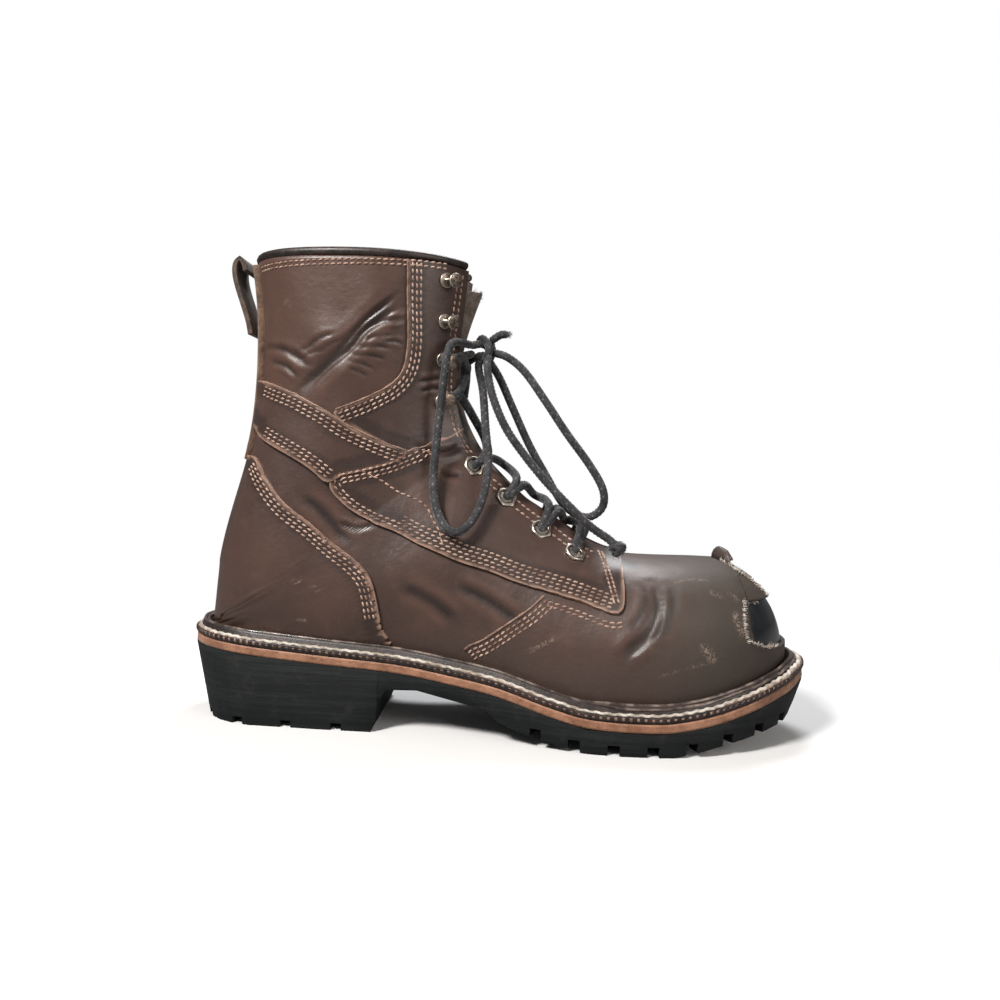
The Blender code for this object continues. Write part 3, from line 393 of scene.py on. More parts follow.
def tan_hide(name, low, high, rough):
    hide = Recipe(name, Roughness=rough, Sheen_Weight=0.15)
    colour = hide.blend(hide.ramp(hide.noise(120, 5, 0.65), 0.32, 0.68), low, high)
    grime = hide.ramp(hide.noise(320, 3, on=hide.stretched(1, 1, 2.5)), 0.56, 0.74)
    colour = hide.blend(hide.sum("MULTIPLY", grime, 0.55), colour, (0.07, 0.035, 0.022))
    return hide.finish(Base_Color=colour, Normal=hide.relief(hide.noise(900, 4), 0.0004, strength=0.7))


def shell_black():
    shell = Recipe("shell_black", Coat_Weight=0.6, Coat_Roughness=0.12)
    smear = shell.noise(90, 4, 0.6, warp=0.8)
    colour = shell.blend(shell.ramp(smear, 0.45, 0.75), (0.004, 0.006, 0.010), (0.018, 0.026, 0.034))
    colour = shell.blend(shell.mark("dull"), colour, (0.085, 0.10, 0.082))
    return shell.finish(Base_Color=colour, Roughness=shell.spread(smear, 0.16, 0.42),
                        Normal=shell.relief(smear, 0.0008, strength=0.3))


lining = worn_lining()
dark_leather = dark_trim()
midsole_tan = tan_hide("midsole_tan", (0.25, 0.11, 0.06), (0.44, 0.22, 0.13), 0.5)
tongue_hide = tan_hide("tongue_hide", (0.10, 0.075, 0.06), (0.24, 0.19, 0.155), 0.8)
# Pale tan of the raw edges; on the edge beads it is partly a painted highlight.
edge_tan = tan_hide("edge_tan", (0.17, 0.095, 0.068), (0.40, 0.255, 0.19), 0.5)
tan_suede = tan_hide("tan_suede", (0.09, 0.052, 0.034), (0.26, 0.16, 0.105), 0.8)
loop_hide = tan_hide("loop_hide", (0.022, 0.014, 0.011), (0.12, 0.078, 0.055), 0.75)
cap_shell = shell_black()
ridge_gloss_and_highlight = glossy_ridge_with_highlight()
frayed_white = waxed_thread("frayed_white", (0.74, 0.7, 0.64), (0.42, 0.33, 0.27))
loose_grey = waxed_thread("loose_grey", (0.20, 0.19, 0.18), (0.02, 0.02, 0.022))
beige_thread = waxed_thread("beige_thread", (0.58, 0.39, 0.30), (0.24, 0.13, 0.09))
white_thread = waxed_thread("white_thread", (0.72, 0.66, 0.58), (0.34, 0.27, 0.21))
black_braid = braided_black()
nickel = worn_nickel()
rubber = dusty_rubber()
print("smaller finishes ready")

# %% [markdown]
# ## Helpers for meshes
# Four small tools are used all the way through: one selects a single piece for the operators, one
# turns lists of points and faces into a piece that rides on the boot, one smooths a given line
# of points into an even curve, and one writes a named mark on every point of a mesh for the finishes
# above to read.

# %% Pieces, smooth lines and marks
def only(shape):
    """Selects one piece and nothing else, because an operator acts on all that is selected."""
    bpy.ops.object.select_all(action="DESELECT")
    bpy.context.view_layer.objects.active = shape
    shape.select_set(True)


def piece(name, points, faces, finish, slot, smooth=True):
    mesh = bpy.data.meshes.new(name)
    mesh.from_pydata([tuple(p) for p in points], [], [tuple(int(i) for i in f) for f in faces])
    mesh.materials.append(finish)
    made = bpy.data.objects.new(name, mesh)
    bpy.context.scene.collection.objects.link(made)
    mesh.polygons.foreach_set("use_smooth", [smooth] * len(mesh.polygons))
    return dress(made, slot)


def dress(made, slot, *stands_for):
    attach(made, "root")
    if stands_for:
        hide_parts(*stands_for)
    return made


def even_line(points, step, closed=False):
    pts = np.array([tuple(p) for p in points], float)
    if closed:
        padded = np.concatenate((pts[-1:], pts, pts[:2]))
    else:
        padded = np.concatenate((2 * pts[:1] - pts[1:2], pts, 2 * pts[-1:] - pts[-2:-1]))
    t = np.arange(16)[:, None] / 16
    made = []
    for a, b, c, d in zip(padded, padded[1:], padded[2:], padded[3:]):
        made.append(0.5 * (2 * b + (c - a) * t + (2 * a - 5 * b + 4 * c - d) * t ** 2
                           + (3 * b - 3 * c + d - a) * t ** 3))
    fine = np.concatenate(made + [padded[-2:-1]])
    run = np.concatenate(([0], np.cumsum(np.linalg.norm(np.diff(fine, axis=0), axis=1))))
    count = max(2, int(round(run[-1] / step)) + 1)
    at = np.linspace(0, run[-1], count)
    return np.stack([np.interp(at, run, fine[:, k]) for k in range(3)], axis=1)


def coordinates(mesh):
    flat = np.empty(len(mesh.vertices) * 3)
    mesh.vertices.foreach_get("co", flat)
    return flat.reshape(-1, 3)


def normals(mesh):
    flat = np.empty(len(mesh.vertices) * 3)
    mesh.vertex_normals.foreach_get("vector", flat)
    return flat.reshape(-1, 3)


def write_mark(made, name, values):
    attribute = made.data.attributes.get(name) or made.data.attributes.new(name, "FLOAT", "POINT")
    attribute.data.foreach_set("value", np.clip(values, 0, 1).astype(np.float32))


print("helpers ready")

# %% [markdown]
# ## The laces
# A work boot's lace is a round braid, about four millimetres thick, black with a grey tracer thread
# that shows as a fleck on every second crossing. The grey is laid most strongly on the crowns of the
# strands, which is partly a painted highlight, and the fainter grey on the other crossings' crowns is
# painted highlight alone. It is one limp cord: it zigzags up the throat, is tied at the second hook,
# and its two bow loops and one long end hang down the front. A curve with a round bevel would be
# smooth as a cable, so the tube is built ring by ring, and its radius swells and sinks in a diamond
# pattern that winds both ways, as the braid's strands do.

# %% Braid a tube along a line of points
LACE_RADIUS = 2.1 * MM
STRANDS = 6
STRAND_RUN = 4.2 * MM
SIDES = 24


def braid(name, route, radius=LACE_RADIUS, step=0.5 * MM, taper=0.0):
    line = even_line(np.array(route) * MM, step)
    ahead = np.gradient(line, axis=0)
    ahead /= np.linalg.norm(ahead, axis=1)[:, None]
    aside = Vector(ahead[0]).orthogonal().normalized()
    points, tracer_and_highlight_values = [], []
    for i, (place, way) in enumerate(zip(line, ahead)):
        way = Vector(way)
        aside = (aside - way * aside.dot(way)).normalized()
        other = way.cross(aside)
        turn = np.arange(SIDES) / SIDES
        run = i * step / STRAND_RUN
        left, right = turn * STRANDS / 2 + run, turn * STRANDS / 2 - run
        pillow = np.sqrt(np.abs(np.sin(2 * math.pi * left) * np.sin(2 * math.pi * right)))
        end = min(1.0, (min(i, len(line) - 1 - i) + 1) * step / (1.2 * radius))
        swell = radius * (0.80 + 0.24 * pillow) * (math.sqrt(end * (2 - end)) if taper == 0 else 1)
        for k in range(SIDES):
            angle = turn[k] * 2 * math.pi
            points.append(Vector(place) + (aside * math.cos(angle) + other * math.sin(angle)) * swell[k])
        # Tracer grey on every second crossing, and a fainter grey on the other crowns, which is painted highlight;
        # both are weighted towards the crowns.
        tracer = (np.floor(2 * left).astype(int) % 2 == 0) & (np.floor(2 * right).astype(int) % 2 == 0)
        tracer_and_highlight_values.extend(np.where(tracer, 0.9 * np.clip(pillow * 1.6 - 0.5, 0, 1),
                               0.3 * np.clip(pillow * 1.6 - 0.5, 0, 1)))
    faces = []
    for i in range(len(line) - 1):
        for k in range(SIDES):
            a, b = i * SIDES + k, i * SIDES + (k + 1) % SIDES
            faces.append((a, b, b + SIDES, a + SIDES))
    faces.append(tuple(range(SIDES - 1, -1, -1)))
    faces.append(tuple((len(line) - 1) * SIDES + k for k in range(SIDES)))
    made = piece(name, points, faces, black_braid, "black_lace")
    write_mark(made, "tracer_and_highlight", np.array(tracer_and_highlight_values))
    return made, line


def length_of(line):
    return float(np.linalg.norm(np.diff(line, axis=0), axis=1).sum())


print("the braid has", STRANDS, "strands that show on one side")

# %% [markdown]
# ## The bow
# Limp cord hangs nearly straight down from the knot, turns in a loop no tighter than the braid
# allows, and comes back up. The two loops and the long end follow the solids of the frame exactly,
# so the points are those of the model, in millimetres. The knot is the same braid wound round the
# crossing, and the short end is a stub that leaves it.

# %% Hang the two loops and the long end
BOW_OUTER = (
    (94.5, -10.2, 194), (86.5, -24, 193.5), (84, -29.3, 187), (82.5, -29.5, 175), (81, -29, 160),
    (79.5, -28.5, 145), (78.5, -30, 128), (80, -34, 113), (85, -38.5, 103), (91, -39.5, 100),
    (98, -36, 105), (103.5, -30, 118), (105, -24.5, 134), (103, -19, 152), (101, -13, 170),
    (98.5, -8.5, 181), (98, -6.5, 186.5),
)
BOW_INNER = (
    (104.9, -3.8, 191.3), (113, -6, 188.5), (122, -7, 181), (133, -8, 166), (144, -8.5, 150),
    (156, -9, 134), (163, -8.5, 122), (163.5, -7, 113), (158, -5, 107.5), (151, -3.5, 108),
    (143, -2, 114), (134, -1, 128.5), (125, -1, 144), (116, -1, 163), (109, -1.5, 178),
    (102.8, -2, 187.6),
)
FREE_END = (
    (103.2, -8.6, 188.6), (103, -14, 182), (106, -19, 168), (113, -20.5, 152), (123, -21, 138),
    (135, -21, 124), (147, -21.5, 112), (157, -22, 103), (166, -23, 97), (172, -25, 91),
)
SHORT_END = ((103.8, -3.8, 196.9), (109, -6, 200), (113, -7.5, 200))

KNOT_TURNS = (
    ((94.5, -10.2, 194), (95.5, -7.5, 194.5), (99.5, -5.5, 195.3), (103.0, -4.2, 193.6),
     (104.9, -3.8, 191.3)),
    ((98, -6.5, 186.5), (97.6, -6.2, 188.6), (100.2, -4.6, 189.4), (102.4, -3.2, 188.8), (102.8, -2, 187.6)),
    ((97.2, -0.4, 196.2), (99.6, -4.6, 198.2), (102.6, -6.8, 195.0), (103.2, -7.4, 191.4),
     (101.4, -6.6, 187.4),
     (97.6, -3.0, 186.6)),
    ((100.2, 2.6, 196.0), (102.8, 0.2, 197.2), (104.4, -2.4, 194.2), (104.6, -3.4, 190.6),
     (102.9, -2.6, 187.2),
     (99.2, 1.0, 187.4)),
)


def join(name, members):
    bpy.ops.object.select_all(action="DESELECT")
    for member in members:
        member.select_set(True)
    bpy.context.view_layer.objects.active = members[0]
    bpy.ops.object.join()
    members[0].name = name
    return members[0]


knot = join("knot_turns", [braid(f"knot_turn_{i}", turn)[0] for i, turn in enumerate(KNOT_TURNS)])
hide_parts("lace_knot")
short_end = braid("short_end", SHORT_END)[0]
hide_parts("lace_end_short")
bow_cords = {}
for name, route, node, far_end, on_it in (
    ("outer_bow", BOW_OUTER, "bow_outer", "object", (knot, short_end)),
    ("inner_bow", BOW_INNER, "bow_inner", "object", ()),
    ("long_end", FREE_END, "lace_end_long", "bare", ()),
):
    made, line = braid(name, route)
    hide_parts(node)
    length_of(line)
    bow_cords[name] = made
    print(name, round(length_of(line) * 1000), "mm")

# %% [markdown]
# ## The zigzag in the throat
# Each side of the lace dives into an eyelet, comes up again and crosses to the next one on the far
# side, then goes behind the stems of the two lower hooks. The routes start from the solids' own
# crossings, and the stops are moved down into the holes and round behind the stems, where the
# plain solids only pass over them.

# %% Lace the throat
LINE_A = (
    (150.8, -26.4, 93.7), (152.0, -11.1, 103.1), (144.5, 1.6, 105.3), (140.4, 15.7, 110.3),
    (132.6, 26.6, 103.2),
    (135.7, 15.7, 113.1), (128.3, 0.8, 117.9), (122.8, -14.7, 122.7), (116.1, -22.5, 119.1),
    (119.2, -14.9, 125.9),
    (111.9, 0.1, 133.5), (104.4, 16.2, 136.5), (99.2, 19.8, 134.1), (103.0, 16.3, 137.9), (101.3, 0.0, 147.4),
    (89.9, -14.5, 167.0), (86.8, -17.0, 167.0), (89.6, -14.4, 170.7), (91.5, 0.0, 181.0), (90.6, 14.4, 186.6),
    (87.5, 18.1, 186.6), (95.3, 4.9, 189.8),
)
LINE_B = (
    (149.8, 30.0, 92.7), (151.7, 14.8, 103.2), (144.5, 1.6, 105.3), (140.8, -13.1, 110.3),
    (133.5, -24.9, 104.2),
    (136.0, -13.6, 113.1), (128.3, 0.8, 117.9), (122.5, 15.7, 122.7), (115.7, 23.3, 118.9),
    (119.0, 15.6, 126.0),
    (111.9, 0.1, 133.5), (104.4, -16.2, 136.5), (99.2, -19.8, 134.1), (103.0, -16.3, 137.9),
    (101.3, 0.0, 147.4),
    (89.9, 14.5, 167.0), (86.8, 17.0, 167.0), (89.6, 14.4, 170.7), (91.5, 0.0, 181.0), (90.6, -14.4, 186.6),
    (87.5, -18.1, 186.6), (95.3, -8.9, 189.8),
)
BAR = ((150.8, -26.4, 93.7), (154.8, -9.9, 101.3), (152.0, 2.0, 98.9), (154.5, 13.9, 101.4),
       (149.8, 30.0, 92.7))

# Places and outward directions of the metal on the outer side; the inner side follows its own table
EYELETS = {
    "outer": (((97.4, -16.0, 132.3), (0.388, -0.835, 0.389)), ((114.3, -18.9, 116.8), (0.39, -0.774, 0.499)),
              ((132.1, -21.5, 101.4), (0.302, -0.744, 0.596)),
              ((149.0, -23.6, 90.5), (0.393, -0.604, 0.693))),
    "inner": (((97.4, 16.0, 132.3), (0.388, 0.835, 0.389)), ((114.1, 19.6, 116.7), (0.348, 0.803, 0.483)),
              ((131.6, 22.9, 100.7), (0.225, 0.801, 0.555)), ((148.5, 27.0, 89.6), (0.293, 0.673, 0.679))),
}
HOOKS = {
    "outer": (((82.4, -26.7, 223.5), (0.641, -0.753, -0.144)), ((81.7, -23.7, 203.8), (0.636, -0.76, -0.13)),
              ((81.0, -21.1, 184.9), (0.588, -0.799, -0.124)),
              ((80.6, -18.8, 164.3), (0.568, -0.822, -0.027))),
    "inner": (((82.4, 26.7, 223.5), (0.641, 0.753, -0.144)), ((81.7, 23.7, 203.8), (0.636, 0.76, -0.13)),
              ((81.0, 21.1, 184.9), (0.588, 0.799, -0.124)), ((80.6, 18.8, 164.3), (0.568, 0.822, -0.027))),
}


def dived(route):
    """The stops are every fourth point: those at eyelets go down the hole, those at hooks go behind."""
    made = []
    eyes = [(Vector(p), Vector(n)) for side in EYELETS.values() for p, n in side]
    hooks = [(Vector(p), Vector(n)) for side in HOOKS.values() for p, n in side]
    for i, point in enumerate(route):
        place = Vector(point)
        eye = min(eyes, key=lambda e: (e[0] - place).length)
        hook = min(hooks, key=lambda h: (h[0] - place).length)
        stop = i % 4 == 0
        if stop and (eye[0] - place).length < 8:
            made.append(tuple(eye[0] - eye[1] * 1.6))
        elif stop and (hook[0] - place).length < 10:
            forward = place - hook[0]
            forward = (forward - hook[1] * forward.dot(hook[1])).normalized()
            behind = hook[0] + hook[1] * 3.3 - forward * 2.6
            low = (Vector(route[i - 1]) + place) / 2 + forward * 0.5
            made += [tuple(low), tuple(behind), tuple((place + Vector(route[i + 1])) / 2 + forward * 0.5)]
        else:
            made.append(point)
    return made


zigzag = [braid(f"zigzag_{i}", dived(route), step=0.55 * MM)[0] for i, route in enumerate((LINE_A, LINE_B))]
low_bar = [tuple(Vector(p)) for p in BAR]
low_bar[0], low_bar[-1] = dived([BAR[0]])[0], dived([BAR[-1]])[0]
zigzag.append(braid("low_bar", low_bar, step=0.55 * MM)[0])
throat_lace = join("throat_lace", zigzag)
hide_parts("lace_crossings")
print("throat lace", len(throat_lace.data.polygons), "faces")

# %% [markdown]
# ## The upper's skin
# The solid upper is a coarse shell, drawn with just enough faces for its form. Real leather over a
# last has no flat facets, so a merged copy of the shell is turned into quads, its cut edges are
# creased so that they stay crisp, and a subdivision surface rounds the rest. The shell is first
# parted into the outside, which needs a fine mesh for folds, and the lining, which doesn't.

# %% Round a copy of a solid
def rounded_copy(name, node, levels, part=None, crease_over=50):
    bpy.ops.object.select_all(action="DESELECT")
    made = bpy.data.objects.new(name, nodes[node].data.copy())
    bpy.context.scene.collection.objects.link(made)
    bpy.context.view_layer.objects.active = made
    made.select_set(True)
    bpy.ops.object.mode_set(mode="EDIT")
    bpy.ops.mesh.select_all(action="SELECT")
    bpy.ops.mesh.remove_doubles(threshold=0.00002)
    bpy.ops.mesh.tris_convert_to_quads(face_threshold=math.radians(40), shape_threshold=math.radians(60))
    shape = bmesh.from_edit_mesh(made.data)
    crease = shape.edges.layers.float.new("crease_edge")
    for edge in shape.edges:
        if len(edge.link_faces) == 2 and edge.calc_face_angle() > math.radians(crease_over):
            edge[crease] = 1.0
    if part:
        bpy.ops.mesh.select_all(action="DESELECT")
        for face in shape.faces:
            face.select_set(not part(face))
        bmesh.update_edit_mesh(made.data)
        bpy.ops.mesh.delete(type="FACE")
    bpy.ops.object.mode_set(mode="OBJECT")
    rounding = made.modifiers.new("rounding", "SUBSURF")
    rounding.levels = rounding.render_levels = levels
    bpy.ops.object.modifier_apply(modifier=rounding.name)
    bpy.ops.object.shade_smooth()
    made.data.materials.clear()
    return made


FOOT_LINE = np.array([(30, 245), (30, 110), (62, 78), (120, 55), (200, 47), (250, 42)]) * MM


def faces_inwards(face):
    centre = face.calc_center_median()
    place = np.array((centre.x, centre.z))
    best, axis = 1e9, None
    for start, end in zip(FOOT_LINE, FOOT_LINE[1:]):
        run = end - start
        share = np.clip((place - start) @ run / (run @ run), 0, 1)
        near = start + share * run
        if np.linalg.norm(place - near) < best:
            best, axis = np.linalg.norm(place - near), near
    toward = Vector((axis[0] - centre.x, -centre.y, axis[1] - centre.z)).normalized()
    return face.normal.dot(toward) > 0.3


skin = rounded_copy("skin", "upper", 3, part=lambda face: not faces_inwards(face))
inside = rounded_copy("shaft_lining", "upper", 1, part=faces_inwards)
inside.data.materials.append(lining)
skin.data.materials.append(leather)
dress(inside, "dark_leather")
print("skin", len(skin.data.polygons), "faces, lining", len(inside.data.polygons), "faces")

# %% [markdown]
# ## Finding a place from the portrait
# Seams, creases and scars are placed where the portrait shows them. A line is sent from the camera
# through that point of the portrait, and where it meets the skin is the place on the leather, with
# the leather's own direction. What the camera can't see, on the inner side, is the mirror image,
# laid on the nearest leather there.

# %% Cast a point of the portrait onto the skin
FOCUS, MIDDLE = 853.39, (454.69, 488.46)


def tree_of(*pieces_of_leather):
    points, faces = [], []
    for one in pieces_of_leather:
        start = len(points)
        points += [tuple(p) for p in coordinates(one.data)]
        faces += [tuple(i + start for i in f.vertices) for f in one.data.polygons]
    return BVHTree.FromPolygons(points, faces)


skin_tree = tree_of(skin)
EYE = bpy.context.scene.camera.matrix_world.translation.copy()
TURN = bpy.context.scene.camera.matrix_world.to_3x3()


def spot(u, v, tree=None):
    ray = TURN @ Vector(((u - MIDDLE[0]) / FOCUS, (MIDDLE[1] - v) / FOCUS, -1))
    place, out, _, _ = (tree or skin_tree).ray_cast(EYE, ray.normalized())
    return place, out


def traced(pixels, tree=None):
    """A line through pixels of the portrait, laid on the skin; points that miss it are left out."""
    return [place for place, _ in (spot(u, v, tree) for u, v in pixels) if place]


def mirrored(line, tree=None):
    made = []
    for place in line:
        near, _, _, _ = (tree or skin_tree).find_nearest(Vector((place.x, -place.y, place.z)))
        made.append(near)
    return made


print("eyelet region seen at", [round(c, 3) for c in spot(440, 470)[0]])

# %% [markdown]
# ## Folds and puffs
# Leather folds where the foot bends: two long slanting creases on the shaft, a short level one
# behind it, and a crescent across the vamp. Each is a soft trough with a low ridge on either side,
# pushed into the fine mesh along its own direction, and between creases the leather puffs out. The
# troughs are also coloured dark, which is painted shade.
# Simulation would fold it somewhere else, so the folds are placed one by one.

# %% Press the folds into the skin
skin_points = coordinates(skin.data)
skin_out = normals(skin.data)
crease_shade_mark = np.zeros(len(skin_points))
crest_and_lit_shaft_mark = np.zeros(len(skin_points))


def distance_to(points, line, step=1.2 * MM):
    """Distance to a line and the share of the way along it, for many points at once."""
    dense = even_line(line, step)
    best = np.full(len(points), 1e9)
    share = np.zeros(len(points))
    for i, place in enumerate(dense):
        near = np.linalg.norm(points - place, axis=1)
        closer = near < best
        best[closer], share[closer] = near[closer], i / max(1, len(dense) - 1)
    return best, share


def press_fold(line, depth, width, ridge=0.45):
    line = np.array([tuple(p) for p in line])
    low, high = line.min(axis=0) - 5 * width, line.max(axis=0) + 5 * width
    near = np.where(((skin_points > low) & (skin_points < high)).all(axis=1))[0]
    away, share = distance_to(skin_points[near], line)
    fade = np.clip(share / 0.18, 0.15, 1) * np.clip((1 - share) / 0.18, 0.15, 1)
    trough = np.exp(-(away / width) ** 2) * fade
    crest = np.exp(-((away - 2.1 * width) / (1.1 * width)) ** 2) * fade
    skin_points[near] += skin_out[near] * (ridge * depth * crest - depth * trough)[:, None]
    # The trough is also marked to be coloured dark: painted shade in the crease.
    crease_shade_mark[near] = np.maximum(crease_shade_mark[near], 0.85 * trough)
    crest_and_lit_shaft_mark[near] = np.maximum(crest_and_lit_shaft_mark[near], 0.8 * crest)


def press_puff(place, height, width):
    away = np.linalg.norm(skin_points - np.array(place), axis=1)
    swell = np.exp(-(away / width) ** 2)
    skin_points[:] += skin_out * (height * swell)[:, None]
    crest_and_lit_shaft_mark[:] = np.maximum(crest_and_lit_shaft_mark, 0.45 * swell * (height > 0))


FOLDS = (
    # pixels of the portrait, depth and width in millimetres
    (((296, 394), (318, 372), (342, 351), (362, 332), (384, 310), (400, 292)), 1.5, 3.6),
    (((298, 393), (314, 375), (337, 354), (350, 337), (371, 316), (398, 293)), 1.3, 1.15),
    (((304, 394), (320, 375), (342, 356), (358, 341), (373, 323), (403, 307)), 1.1, 1.1),
    (((352, 343), (364, 331), (376, 324), (390, 320), (404, 319)), 1.0, 1.3),
    (((365, 340), (378, 336), (392, 335)), 0.45, 0.9), (((358, 348), (374, 346), (390, 348)), 0.45, 0.9),
    (((352, 356), (368, 355), (386, 359)), 0.45, 0.9), (((347, 361), (361, 363), (375, 369)), 0.4, 0.9),
    (((346, 367), (356, 370), (368, 376)), 0.35, 0.9), (((384, 342), (394, 341), (403, 344)), 0.35, 0.8),
    (((308, 345), (321, 338), (336, 333)), 0.6, 1.1), (((299, 352), (308, 347), (317, 344)), 0.5, 1.0),
    (((304, 357), (314, 352), (326, 350)), 0.5, 1.0), (((318, 352), (330, 344), (344, 338)), 0.45, 1.0),
    (((265, 347), (283, 349), (295, 356), (308, 364), (317, 365)), 0.9, 1.4),
    (((270, 360), (286, 366), (300, 378)), 0.6, 1.3), (((292, 348), (301, 356), (310, 360)), 0.5, 1.0),
    (((417, 382), (428, 380), (442, 377)), 0.6, 1.1), (((420, 391), (432, 388), (444, 390)), 0.5, 1.1),
    (((653, 584), (657, 602), (654, 621), (645, 638), (632, 649), (622, 664)), 1.4, 2.6),
    (((656, 592), (659, 606), (655, 622), (647, 637), (634, 651)), 0.8, 1.0),
    (((662, 594), (663, 612), (658, 632), (648, 645)), 0.6, 1.0),
    (((650, 640), (641, 649), (630, 656)), 0.5, 1.0),
    (((668, 585), (672, 600), (668, 620), (655, 645)), 0.6, 2.2),
    (((640, 584), (646, 598), (642, 615), (630, 634)), 0.5, 1.9),
    (((415, 447), (430, 452), (446, 452), (460, 446)), 1.0, 1.7),
    (((436, 470), (448, 476), (462, 478)), 0.7, 1.5),
    (((340, 523), (358, 527), (374, 526)), 0.5, 1.2), (((338, 520), (350, 529), (366, 532)), 0.4, 1.2),
    (((300, 495), (318, 508), (334, 525), (350, 545)), 0.5, 2.4),
    (((400, 585), (430, 600), (458, 622)), 0.5, 2.6),
    (((455, 585), (480, 596), (505, 612), (520, 625)), 0.6, 2.4),
)
fold_lines = []
for pixels, depth, width in FOLDS:
    traced_line = traced(pixels)
    fold_lines += [(traced_line, depth * MM, width * MM),
                   (mirrored(traced_line), 0.85 * depth * MM, width * MM)]
by_folds = np.zeros(len(skin_points), bool)
for line, _, width in fold_lines:
    away, _ = distance_to(skin_points, np.array([tuple(p) for p in line]))
    by_folds |= away < 3.2 * width + 1.5 * MM
only(skin)
skin.data.vertices.foreach_set("select", by_folds)
skin.data.edges.foreach_set("select", [all(by_folds[i] for i in e.vertices) for e in skin.data.edges])
skin.data.polygons.foreach_set("select", [all(by_folds[i] for i in f.vertices) for f in skin.data.polygons])
bpy.ops.object.mode_set(mode="EDIT")
bpy.ops.mesh.subdivide(number_cuts=1, quadcorner="INNERVERT")
bpy.ops.object.mode_set(mode="OBJECT")
skin.data.update()
skin_points, skin_out = coordinates(skin.data), normals(skin.data)
crease_shade_mark, crest_and_lit_shaft_mark = np.zeros(len(skin_points)), np.zeros(len(skin_points))
for line, depth, width in fold_lines:
    press_fold(line, depth, width)
for u, v, height, width in ((322, 333, 1.3, 9), (372, 345, 1.0, 8), (345, 372, 1.0, 7), (300, 300, 0.6, 14),
                            (368, 290, 0.7, 12), (690, 620, 0.8, 16), (610, 640, 0.7, 14),
                            (560, 640, 0.5, 16),
                            (270, 560, 0.6, 16), (330, 600, 0.5, 16), (430, 510, 0.7, 14)):
    place = spot(u, v)[0]
    press_puff(place, height * MM, width * MM)
    press_puff(mirrored([place])[0], height * MM, width * MM)

# The shaft is painted lighter than the rest, partly the leather's own lighter tone and partly painted light, and
# its tone is patchy
above_band = np.clip((skin_points[:, 2] / MM - 158) / 14, 0, 1)
behind_facing = np.clip((64 - skin_points[:, 0] / MM) / 8, 0, 1)
shaft_tone_and_light = above_band * behind_facing
crest_and_lit_shaft_mark = np.maximum(crest_and_lit_shaft_mark, 0.6 * shaft_tone_and_light)

# The low heel is only a few faces in the solid, so its fine mesh is evened by hand
bpy.ops.object.select_all(action="DESELECT")
skin.data.vertices.foreach_set("co", skin_points.ravel())
bpy.context.view_layer.objects.active = skin
skin.select_set(True)
bpy.ops.object.mode_set(mode="EDIT")
bpy.ops.mesh.select_all(action="DESELECT")
low_heel = bmesh.from_edit_mesh(skin.data)
for vertex in low_heel.verts:
    spot_x, spot_z = vertex.co.x / MM, vertex.co.z / MM
    vertex.select_set(spot_x < 30 and 46 < spot_z < 78 and not vertex.is_boundary)
bpy.ops.mesh.vertices_smooth(factor=0.5, repeat=22)
bpy.ops.object.mode_set(mode="OBJECT")
skin_points[:] = coordinates(skin.data)
skin_out[:] = normals(skin.data)

SWELLS = np.array([(31, 17, 23), (-19, 37, 29), (43, -11, -31), (13, 29, -41)])
waves = sum(np.sin(skin_points @ (way * 1.9) + i) for i, way in enumerate(SWELLS)) / len(SWELLS)
skin_points += skin_out * (0.35 * MM * waves)[:, None]
skin.data.vertices.foreach_set("co", skin_points.ravel())
skin.data.update()
write_mark(skin, "painted_shade", crease_shade_mark)
write_mark(skin, "crest", crest_and_lit_shaft_mark)
skin_out = normals(skin.data)
skin_tree = tree_of(skin)
dress(skin, "oiled_leather", "upper")
print("folds pressed:", len(FOLDS), "on either side")

# %% [markdown]
# ## Mud, polish and scars on the skin
# Before the sewn pieces are cut from the skin, its wear is marked, so that they take it along. Mud
# and stones have dulled the toe and the front of the vamp, and a few pale scratches and frayed
# spots are scattered where the portrait shows them.

# %% Mark the dull toe and the scratches
def along(value, low, high):
    share = np.clip((value - low) / (high - low), 0, 1)
    return share * share * (3 - 2 * share)


x, y, z = skin_points.T / MM
dull = along(x, 150, 225) * 0.85 + along(x + 0.5 * z, 215, 250) * 0.15
write_mark(skin, "dull", np.maximum(dull, 0.35 * along(-z, -62, -34)))
scuff_mark = np.zeros(len(skin_points))
SCRATCHES = (
    # pixels of the portrait, width in millimetres and strength
    (((736, 616), (738, 624), (742, 634)), 1.5, 0.9), (((744, 622), (747, 634)), 1.0, 0.7),
    (((704, 648), (709, 653), (713, 661)), 1.4, 0.8), (((712, 593), (720, 596)), 1.0, 0.5),
    (((731, 595), (737, 599)), 1.0, 0.6), (((296, 579), (301, 582)), 0.8, 0.7),
    (((314, 586), (319, 589)), 0.7, 0.6), (((300, 617), (305, 619)), 0.7, 0.6),
    (((527, 652), (540, 646), (552, 639)), 0.7, 0.7), (((392, 556), (398, 549)), 0.6, 0.7),
    (((676, 583), (690, 579), (706, 580)), 0.7, 0.35), (((620, 600), (626, 612)), 0.6, 0.3),
    (((690, 668), (704, 664)), 0.7, 0.35), (((660, 676), (676, 672)), 0.6, 0.3),
    (((350, 520), (366, 528)), 0.6, 0.35), (((285, 300), (292, 304)), 0.6, 0.35),
)
for pixels, width, strength in SCRATCHES:
    line = traced(pixels)
    away, _ = distance_to(skin_points, np.array([tuple(p) for p in line]), 0.6 * MM)
    scuff_mark = np.maximum(scuff_mark, strength * np.exp(-(away / (width * MM)) ** 2))
write_mark(skin, "scuff", scuff_mark)
marks = {name: np.empty(len(skin_points), np.float32) for name in ("painted_shade", "crest", "dull", "scuff")}
for name, values in marks.items():
    skin.data.attributes[name].data.foreach_get("value", values)
print("scratches", len(SCRATCHES))

